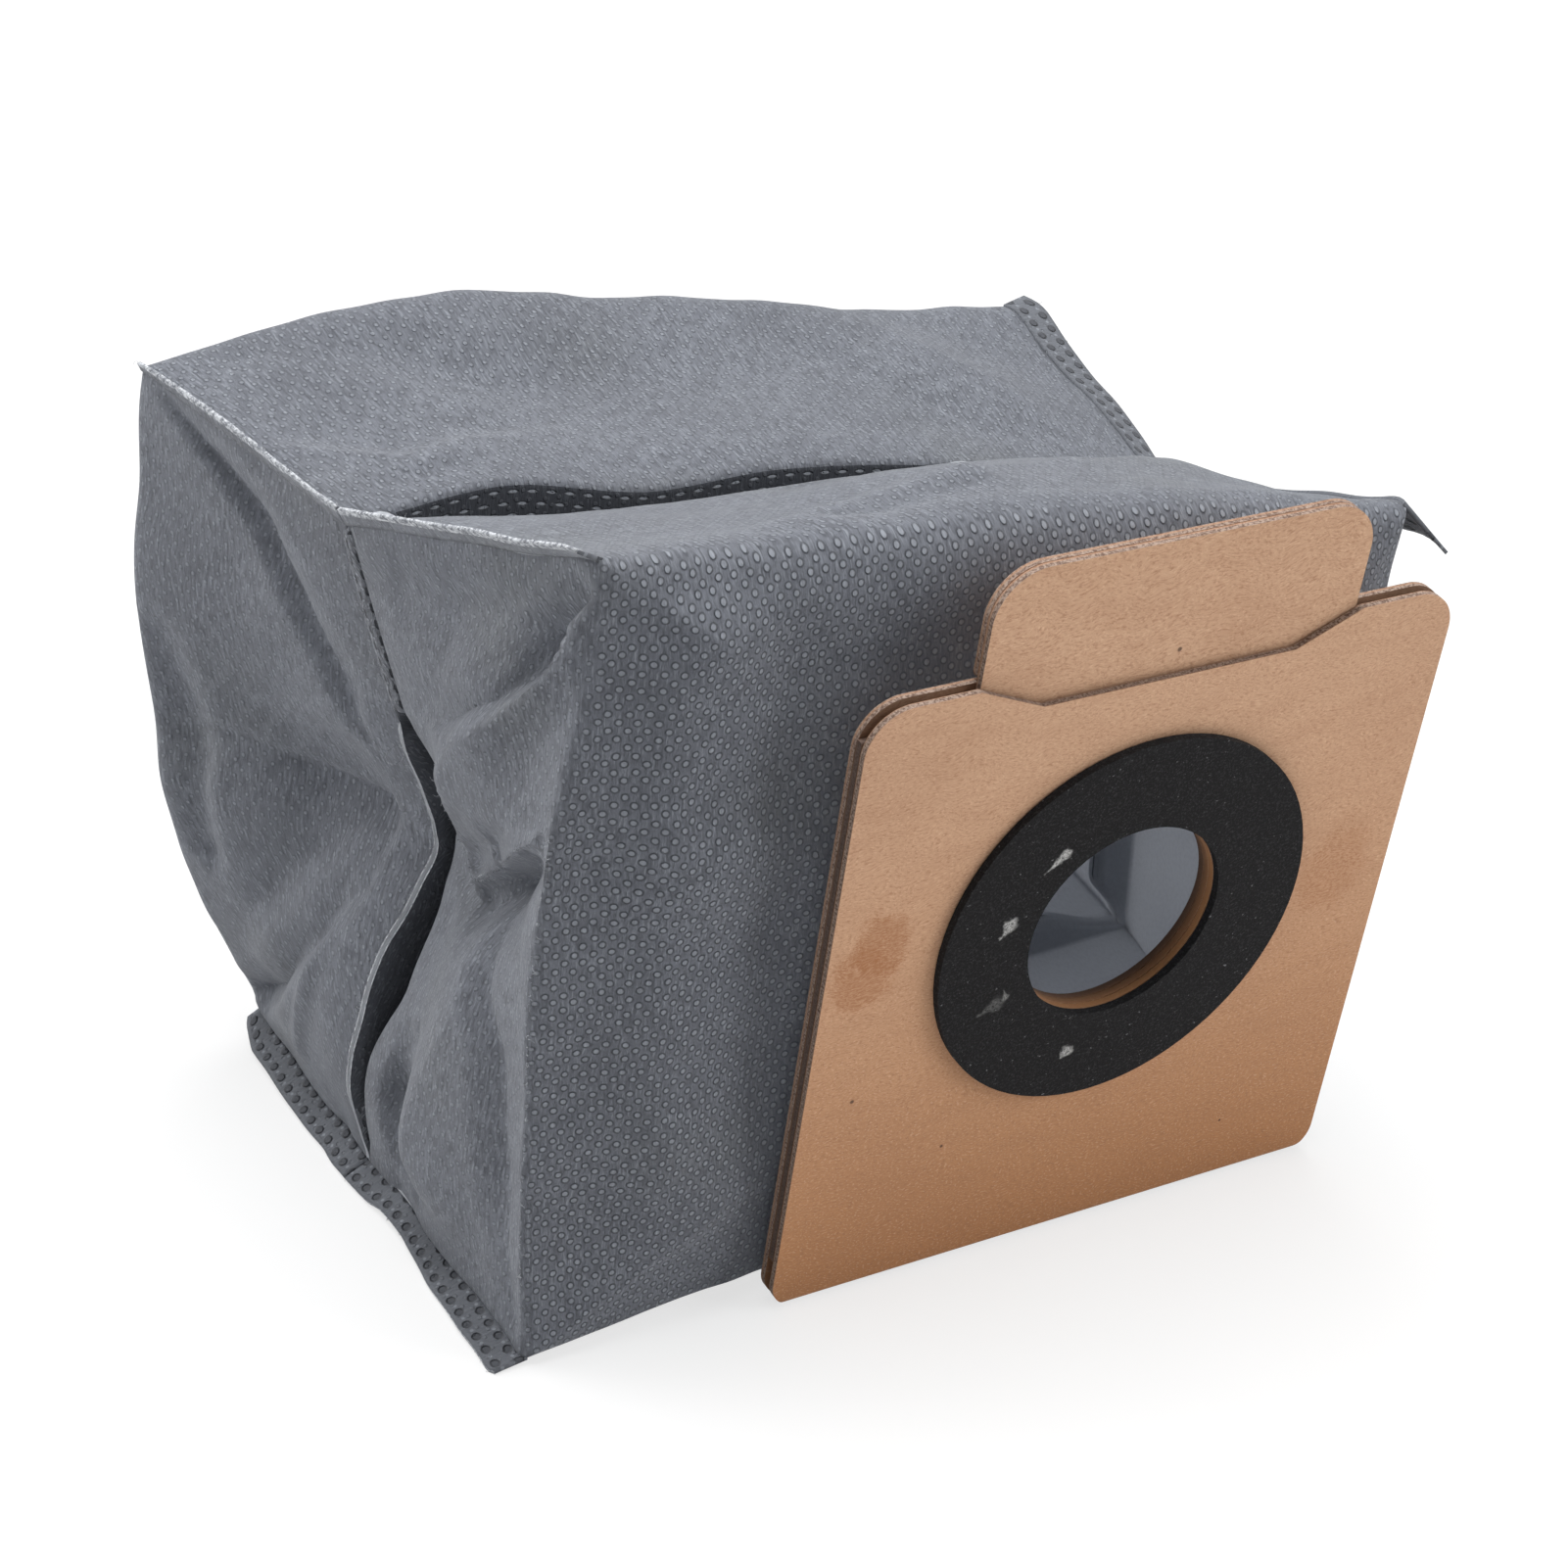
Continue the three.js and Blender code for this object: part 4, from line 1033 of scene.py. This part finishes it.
def weld_material(name, pitch, rows, radius, stretch, tone, strength, base=CLOTH_TONE, pips=0.0):
    """Cloth with rows of weld marks along a raw edge. rows are their distances from that edge."""
    graph = Graph(name)
    colour, height = cloth_base(graph, base)
    if base is not CLOTH_TONE:
        colour = graph.mix(0.75, colour, base)
    weld = graph.parts(graph.uv("Weld"))

    def marks(distances, shift, half, longer):
        mask = 0.0
        for index, distance in enumerate(distances):
            shifted = graph.plus(weld["X"], pitch * (0.5 * (index % 2) + shift))
            along = graph.plus(graph.math("FRACT", graph.math("DIVIDE", shifted, pitch)), -0.5)
            along = graph.times(along, pitch / longer)
            across = graph.plus(weld["Y"], -distance)
            squares = graph.plus(graph.times(along, along), graph.times(across, across))
            inner, outer = (half * share for share in MARK_RIM)
            mark = graph.span(graph.math("SQRT", squares), inner, outer, 1.0, 0.0)
            mask = graph.math("MAXIMUM", mask, mark)
        return mask

    mask = marks(rows, 0.0, radius, stretch)
    colour = graph.mix(graph.times(mask, strength), colour, tone)
    if pips:
        pale = marks(rows, 0.5, radius * PIP_SIZE, 1.0)
        colour = graph.mix(graph.times(pale, pips), colour, CLOTH_PALE)
    height = graph.math("SUBTRACT", height, graph.times(mask, 2.0))
    return graph.finish(colour, height, DOT_HEIGHT, 0.8)


def raw_edge_material():
    graph = Graph("nonwoven_raw_edge")
    frayed = graph.noise(graph.place(), FRAY_SCALE, 4.0, 0.7)
    colour = graph.mix(graph.span(frayed, 0.35, 0.65), CLOTH_TONE, RAW_PALE)
    return graph.finish(colour, frayed, 0.0002, 0.95)


KRAFT = srgb(193, 155, 125)
KRAFT_LOW_PAINTED_SHADE = srgb(168, 114, 67)
KRAFT_DARK = srgb(148, 104, 74)
KRAFT_PALE = srgb(222, 188, 158)
KRAFT_DEEP = srgb(152, 100, 62)
CARD_CORE = srgb(146, 127, 114)
CARD_SHADE = srgb(82, 60, 48)
CARD_LINER = srgb(150, 114, 88)
CARD_PAINTED_SHADE = srgb(56, 39, 31)
BORE_BROWN = srgb(152, 106, 66)
SPECK = srgb(70, 44, 34)

# Noise scales of card per metre, and how far and how finely its grain is bent
GRAIN_BEND = 0.004
GRAIN_BEND_SCALE = 140.0
CARD_FIBRE_SCALE = 3000.0
CARD_FLOW_SCALE = 300.0
CARD_FLECK_SCALE = 3800.0
CARD_BROAD_SCALE = 26.0
CARD_FRAY_SCALE = 2400.0
STAIN_EDGE_SCALE = 190.0

# Marks on the card: middle across and up the plate, half size, turn, and how strong
STAINS = [((-44.2, 60.5), (6.5, 7), -0.2, 0.7), ((-41.4, 66.5), (5.8, 7), -0.5, 0.75),
          ((39.6, 59), (7.5, 11.5), 0.15, 0.4)]
CARD_SPECKS = [((1.2, 105.8), 0.5), ((-41.8, 38.1), 0.45), ((-24, 24), 0.35), ((30, 12), 0.3)]


def plate_place(graph):
    """Metres across the plate, up it and out of it, from its bottom front edge."""
    origin = -ORIGIN * MM
    moved = graph.mapped(graph.place(), location=tuple(origin))
    turned = graph.mapped(moved, rotation=(-math.pi / 2 - LEAN, 0, 0))
    return turned, graph.parts(turned)


def card_material(name, slotted):
    """Kraft card, with painted shade towards its bottom and deeper in the inlet's bore. In the slotted
    plate, what lies between the two leaves is darkened by painted shade.
    """
    graph = Graph(name)
    place, axes = plate_place(graph)
    normal = graph.node("ShaderNodeTexCoord").outputs["Normal"]
    facing = graph.measure("DOT_PRODUCT", normal, tuple(PLATE_OUT))
    cut = graph.span(graph.math("ABSOLUTE", facing), 0.5, 0.9, 1.0, 0.0)
    wavy = graph.jitter(place, GRAIN_BEND_SCALE, GRAIN_BEND)
    elsewhere = graph.mapped(wavy, location=(0.31, 0.17, 0), scale=(0.5, 1, 1))
    fibres = graph.noise(graph.mapped(wavy, scale=(0.4, 1, 1)), CARD_FIBRE_SCALE, 4.0, 0.75)
    flow = graph.noise(graph.mapped(wavy, scale=(0.25, 1, 1)), CARD_FLOW_SCALE, 4.0, 0.6)
    flecks = graph.noise(elsewhere, CARD_FLECK_SCALE, 2.0, 0.5)
    broad = graph.noise(place, CARD_BROAD_SCALE, 3.0, 0.5)
    # Painted shade: the card turns darker and browner towards the plate's bottom
    low = graph.span(axes["Y"], -0.03, PLATE_HEIGHT * MM, 1.0, 0.0)
    colour = graph.layered(graph.mix(low, KRAFT, KRAFT_LOW_PAINTED_SHADE), [
        (fibres, (0.46, 0.66, 0.0, 0.65), KRAFT_DARK),
        (flow, (0.4, 0.7, 0.0, 0.16), KRAFT_DARK),
        (broad, (0.45, 0.75, 0.0, 0.22), KRAFT_DARK),
        (flecks, (0.54, 0.68, 0.0, 0.3), KRAFT_PALE),
    ])
    for (x, up), (half_x, half_up), turn, strength in STAINS:
        local = graph.mapped(place, location=(-x * MM, -up * MM, 0))
        local = graph.mapped(local, rotation=(0, 0, turn))
        local = graph.mapped(local, scale=(1 / (half_x * MM), 1 / (half_up * MM), 0))
        ragged = graph.times(graph.noise(place, STAIN_EDGE_SCALE, 5.0, 0.75), 1.5)
        reach = graph.plus(graph.measure("LENGTH", local), ragged)
        mask = graph.span(reach, 1.3, 1.7, strength, 0.0)
        mask = graph.times(mask, graph.span(fibres, 0.36, 0.6, 0.35, 1.0))
        colour = graph.mix(mask, colour, KRAFT_DEEP)
    for (x, up), size in CARD_SPECKS:
        local = graph.mapped(place, location=(-x * MM, -up * MM, 0), scale=(1, 1, 0))
        mask = graph.span(graph.measure("LENGTH", local), size * MM * 0.5, size * MM, 0.85, 0.0)
        colour = graph.mix(mask, colour, SPECK)
    depth = graph.math("FRACT", graph.math("DIVIDE", graph.math("ABSOLUTE", axes["Z"]), CARD * MM))
    liner = graph.span(graph.math("ABSOLUTE", graph.math("SUBTRACT", depth, 0.5)), 0.28, 0.44)
    fray = graph.noise(place, CARD_FRAY_SCALE, 3.0, 0.7)
    edge = graph.mix(graph.span(fray, 0.4, 0.62), CARD_CORE, CARD_SHADE)
    edge = graph.mix(graph.times(liner, 0.7), edge, CARD_LINER)
    colour = graph.mix(cut, colour, edge)
    centre = graph.mapped(place, location=(0, -INLET_RISE * MM, 0), scale=(1, 1, 0))
    from_inlet = graph.measure("LENGTH", centre)
    bore = graph.span(from_inlet, (INLET_R + 0.3) * MM, (INLET_R + 1) * MM, 1.0, 0.0)
    behind = graph.math("ABSOLUTE", axes["Z"])
    # Painted shade: the bore's wall turns darker the deeper it goes into the plate
    bore_shade = graph.span(behind, 0.0, PLATE_THICK * MM, 0.0, 0.9)
    colour = graph.mix(graph.times(bore, cut), colour,
                       graph.mix(bore_shade, BORE_BROWN, CARD_PAINTED_SHADE))
    if slotted:
        # Painted shade on the faces and strip edges that lie in the slot between the two leaves
        near = graph.span(behind, (CARD - 0.06) * MM, (CARD + 0.04) * MM)
        far = graph.span(behind, (CARD + SLOT - 0.04) * MM, (CARD + SLOT + 0.06) * MM, 1.0, 0.0)
        between = graph.times(near, far)
        colour = graph.mix(graph.times(between, 0.8), colour, CARD_PAINTED_SHADE)
    height = graph.plus(graph.times(fibres, 0.6), flow)
    return graph.finish(colour, height, 0.00012, 0.88, 0.7)


FOAM_TONE = srgb(17, 16, 17)
FOAM_SPECK = srgb(62, 62, 64)
FOAM_DUST = srgb(120, 120, 122)
SCUFF = srgb(190, 190, 188)
FOAM_GRAIN_SCALE = 2600.0
FOAM_SPECK_SCALE = 1500.0
SCUFF_EDGE_SCALE = 1300.0

# Pale scuffs on the foam: from and to across and up the plate, half width and strength
SCUFFS = [
    ((-16.6, 73.2), (-13.4, 76.0), 0.62, 0.9),
    ((-22.3, 63.0), (-20.8, 65.4), 0.8, 0.85),
    ((-6.5, 36.4), (-5.5, 37.6), 0.8, 0.85),
    ((-19.6, 53.4), (-19.0, 51.9), 0.4, 0.4),
    ((-23.8, 49.4), (-20.4, 51.0), 0.9, 0.16),
]


def foam_material():
    graph = Graph("foam")
    place, _ = plate_place(graph)
    grain = graph.noise(place, FOAM_GRAIN_SCALE, 3.0, 0.75)
    specks = graph.noise(place, FOAM_SPECK_SCALE, 2.0, 0.5)
    colour = graph.layered(FOAM_TONE, [(grain, (0.48, 0.76, 0.0, 0.8), FOAM_SPECK),
                                       (specks, (0.7, 0.76, 0.0, 0.8), FOAM_DUST)])
    torn = graph.noise(place, SCUFF_EDGE_SCALE, 4.0, 0.7)
    flat = graph.mapped(place, scale=(1, 1, 0))
    for start, end, half, strength in SCUFFS:
        start, end = np.array([*start, 0]) * MM, np.array([*end, 0]) * MM
        run = end - start
        local = graph.mapped(flat, location=tuple(-start))
        dot = graph.measure("DOT_PRODUCT", local, tuple(run))
        share = graph.node("ShaderNodeClamp",
                           {"Value": graph.math("DIVIDE", dot, float(run @ run))}).outputs[0]
        nearest = graph.node("ShaderNodeVectorMath", {0: tuple(run), "Scale": share},
                             operation="SCALE").outputs["Vector"]
        apart = graph.measure("DISTANCE", local, nearest)
        ragged = graph.plus(apart, graph.times(torn, 3.4 * half * MM))
        wedge = graph.plus(graph.times(share, 0.8), 0.75)
        ragged = graph.math("DIVIDE", ragged, wedge)
        mask = graph.span(ragged, half * MM * 1.7, half * MM * 2.3, strength, 0.0)
        mask = graph.times(mask, graph.span(grain, 0.35, 0.6, 0.25, 1.0))
        colour = graph.mix(mask, colour, SCUFF)
    return graph.finish(colour, grain, 0.0002, 0.9, Specular_IOR_Level=0.2)


# Pieces
materials = {
    "cloth": cloth_material(),
    "cloth_inside": inside_material(),
    # The top's seam lies on the slit's painted shade, with pale weld dashes over it
    "seam_pale": weld_material("seam_of_top", pitch=0.0031, rows=(0.0009, 0.0028, 0.0046), radius=0.0003,
                               stretch=2.8, tone=CLOTH_PALE, strength=0.85, base=SLIT_PAINTED_SHADE),
    "seam_dark": weld_material("seam_of_sides", pitch=0.0029, rows=(0.0008, 0.0023), radius=0.00026,
                               stretch=3.2, tone=CLOTH_WELD_DARK_AND_SHADE, strength=0.9),
    "slit": slit_shade_material(),
    "fin": weld_material("weld_fin", pitch=0.003, rows=(0.0014, 0.0042), radius=0.00072,
                         stretch=1.1, tone=CLOTH_WELD_DARK_AND_SHADE, strength=0.75, base=CLOTH_FIN, pips=0.3),
    "raw_edge": raw_edge_material(),
}

fin_edges = {}
for piece_name, node, toward in (("bag_front", "front_sheet", 1), ("bag_back", "back_sheet", -1)):
    parts = sheet_mesh(toward)
    for fin_name in FIN_DIRECTIONS:
        fin_edges[fin_name, toward] = add_fin(parts, fin_name, toward)
    piece = parts.build(piece_name, materials)
    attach(piece, "bag")
    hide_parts(node)


# Stray fibres, as thin curling threads: where they start, how many, which way, how long, curl
FIBRE_SEED = 11
FIBRE_RADIUS = 0.045
FIBRE_STEPS = 8
FIBRE_TAPER = 0.6
FIBRE_SPREAD = 0.45
CURL_STEP = 0.6
THREAD_ANGLES = (0, 2.1, 4.2)
fibre_random = np.random.default_rng(FIBRE_SEED)
left_columns = np.where(columns.side == "left")[0]


def left_part(points, start, end):
    """The points of a row on the left side between two shares along it."""
    shares = columns.share[left_columns]
    return points[left_columns[(shares > start) & (shares < end)]]


front_edge = sheets[1][0][sheets[1][1]]
slit_edge, lying_edge = sheets[-1][0][-1], sheets[1][0][-1]
notch_rows, notch_ridge, _, _ = sheets[1]
NOTCH_CREST = 2
NOTCH_FIBRES = 60
notch = np.array(CREASES["left"][NOTCH_CREST][0])[:, :2]
notch_place = np.linspace(0, len(notch) - 1, NOTCH_FIBRES)
notch_line = []
for place in notch_place:
    share, depth = (np.interp(place, range(len(notch)), notch[:, k]) for k in range(2))
    column = left_columns[np.argmin(np.abs(columns.share[left_columns] - share))]
    near = depth / columns.reach(1)[column]
    notch_line.append(notch_rows[notch_ridge + int(round(min(near, 1) * (SIDE_ROWS - 1))), column])
FIBRES = [
    (np.array(notch_line), NOTCH_FIBRES, (-0.8, -0.3, 0.2), (0.3, 1), 0.6),
    (left_part(front_edge, 0.06, 0.62), 60, (-0.7, -0.7, 0.1), (0.4, 1.3), 0.5),
    (left_part(front_edge, 0.62, 0.68), 12, (-0.6, -0.7, 0.2), (0.8, 2.4), 0.8),
    (left_part(slit_edge, 0.1, 0.66), 34, (-0.8, -0.2, 0.3), (0.4, 1.6), 0.8),
    (left_part(slit_edge, 0.64, 0.65), 1, (-0.4, -0.7, -0.4), (8.5, 9), 1.35),
    (left_part(lying_edge, 0.72, 0.96), 9, (-0.9, 0.2, 0.2), (1, 3.4), 0.5),
    (fin_edges["topLeft", 1], 26, (-0.3, -0.2, 0.7), (0.3, 1.2), 0.8),
    (fin_edges["topLeft", -1], 46, (-0.5, 0, 0.7), (0.3, 1.5), 0.9),
    (fin_edges["bottomLeft", 1], 14, (-0.8, -0.2, 0), (0.3, 0.9), 0.8),
    (fin_edges["topRight", -1], 14, (0.5, 0, 0.7), (0.3, 1), 0.8),
]
threads, thread_faces = [], []
for row, count, heading, (short, long), curl in FIBRES:
    for _ in range(count):
        point = row[fibre_random.integers(len(row))].copy()
        way = unit(np.array(heading) + fibre_random.normal(0, FIBRE_SPREAD, 3))
        turn = unit(fibre_random.normal(size=3))
        length = fibre_random.uniform(short, long)
        for step in range(FIBRE_STEPS + 1):
            side = unit(np.cross(way, turn))
            up = np.cross(way, side)
            radius = FIBRE_RADIUS * (1 - FIBRE_TAPER * step / FIBRE_STEPS)
            ring = len(threads)
            for angle in THREAD_ANGLES:
                threads.append(point + radius * (math.cos(angle) * side + math.sin(angle) * up))
            if step:
                for k in range(3):
                    j = (k + 1) % 3
                    thread_faces.append((ring - 3 + k, ring - 3 + j, ring + j, ring + k))
            way = unit(way + curl * CURL_STEP * np.cross(turn, way))
            point = point + way * length / FIBRE_STEPS
        thread_faces.append((ring, ring + 1, ring + 2))
fibre_mesh = bpy.data.meshes.new("stray_fibres")
fibre_mesh.from_pydata(placed(threads).tolist(), [], thread_faces)
fibre_mesh.materials.append(materials["raw_edge"])
fibres_piece = add_object("stray_fibres", fibre_mesh)
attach(fibres_piece, "bag")

plate_card, slide_card = card_material("kraft_card", True), card_material("kraft_card_slide", False)
finishes = {"mount_card": plate_card, "side_strip_left": plate_card, "side_strip_right": plate_card,
            "closing_slide": slide_card, "tab_backing": slide_card, "foam_ring": foam_material()}
for name, material in finishes.items():
    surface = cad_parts[name].data.materials
    surface.clear()
    surface.append(material)

# Camera, at the photograph's viewing angle
CAMERA_PLACE = np.array([-291.415, -361.971, 339.218])
CAMERA_RIGHT = (0.858375, -0.507349, 0.076091)
CAMERA_UP = (0.197073, 0.463029, 0.864156)
CAMERA_BACK = (-0.473661, -0.726774, 0.497438)
SENSOR = 36
LENS = 84.87
camera_data = bpy.data.cameras.new("camera")
camera_data.sensor_width = SENSOR
camera_data.lens = LENS
camera = add_object("camera", camera_data)
turn = Matrix((CAMERA_RIGHT, CAMERA_UP, CAMERA_BACK)).transposed().to_4x4()
camera.matrix_world = Matrix.Translation(placed(CAMERA_PLACE)) @ turn
bpy.context.scene.camera = camera

# Floor, world and lamps
FLOOR_HALF = 4.0
FLOOR_TONE = srgb(236, 236, 236)
FLOOR_WHITE = 0.7
WHITE = (1.0, 1.0, 1.0, 1.0)


def seen_white(graph, weight):
    """Seen straight, mirrored or through cloth, white takes this share of the surface's own look."""
    rays = graph.node("ShaderNodeLightPath").outputs
    seen = graph.math("MAXIMUM", rays["Is Camera Ray"], rays["Is Glossy Ray"])
    seen = graph.math("MAXIMUM", seen, rays["Is Transmission Ray"])
    shine = graph.node("ShaderNodeEmission", {"Color": WHITE})
    graph.blend(graph.times(seen, weight), shine)


floor_mesh = bpy.data.meshes.new("floor")
floor_corners = [(x * FLOOR_HALF, y * FLOOR_HALF, 0) for x, y in ((-1, -1), (1, -1), (1, 1), (-1, 1))]
floor_mesh.from_pydata(floor_corners, [], [(0, 1, 2, 3)])
floor = add_object("floor", floor_mesh)
floor_graph = Graph("floor")
floor_graph.shader.inputs["Base Color"].default_value = FLOOR_TONE
floor_graph.shader.inputs["Roughness"].default_value = 1.0
seen_white(floor_graph, FLOOR_WHITE)
floor_mesh.materials.append(floor_graph.owner)

WORLD_LEVEL = 0.15
world = Graph("studio", "worlds", "Background")
world.shader.inputs["Color"].default_value = WHITE
world.shader.inputs["Strength"].default_value = WORLD_LEVEL
seen_white(world, 1.0)
bpy.context.scene.world = world.owner

# Lamps: place, what it looks at, size and power
LAMPS = {
    "overhead": ((-0.05, 0.15, 1.1), 0.8, 18.6),
    "front_right": ((1.05, -0.75, 0.65), 0.8, 10.2),
    "back_left": ((-0.95, 0.85, 0.5), 0.7, 11.0),
}
AIM = Vector((0, 0, 0.06))
for lamp_name, (place, size, power) in LAMPS.items():
    light = bpy.data.lights.new(lamp_name, "AREA")
    light.shape = "SQUARE"
    light.size = size
    light.energy = power
    lamp = add_object(lamp_name, light)
    lamp.location = place
    lamp.rotation_euler = (AIM - Vector(place)).to_track_quat("-Z", "Y").to_euler()

bpy.context.scene.view_settings.view_transform = "Standard"
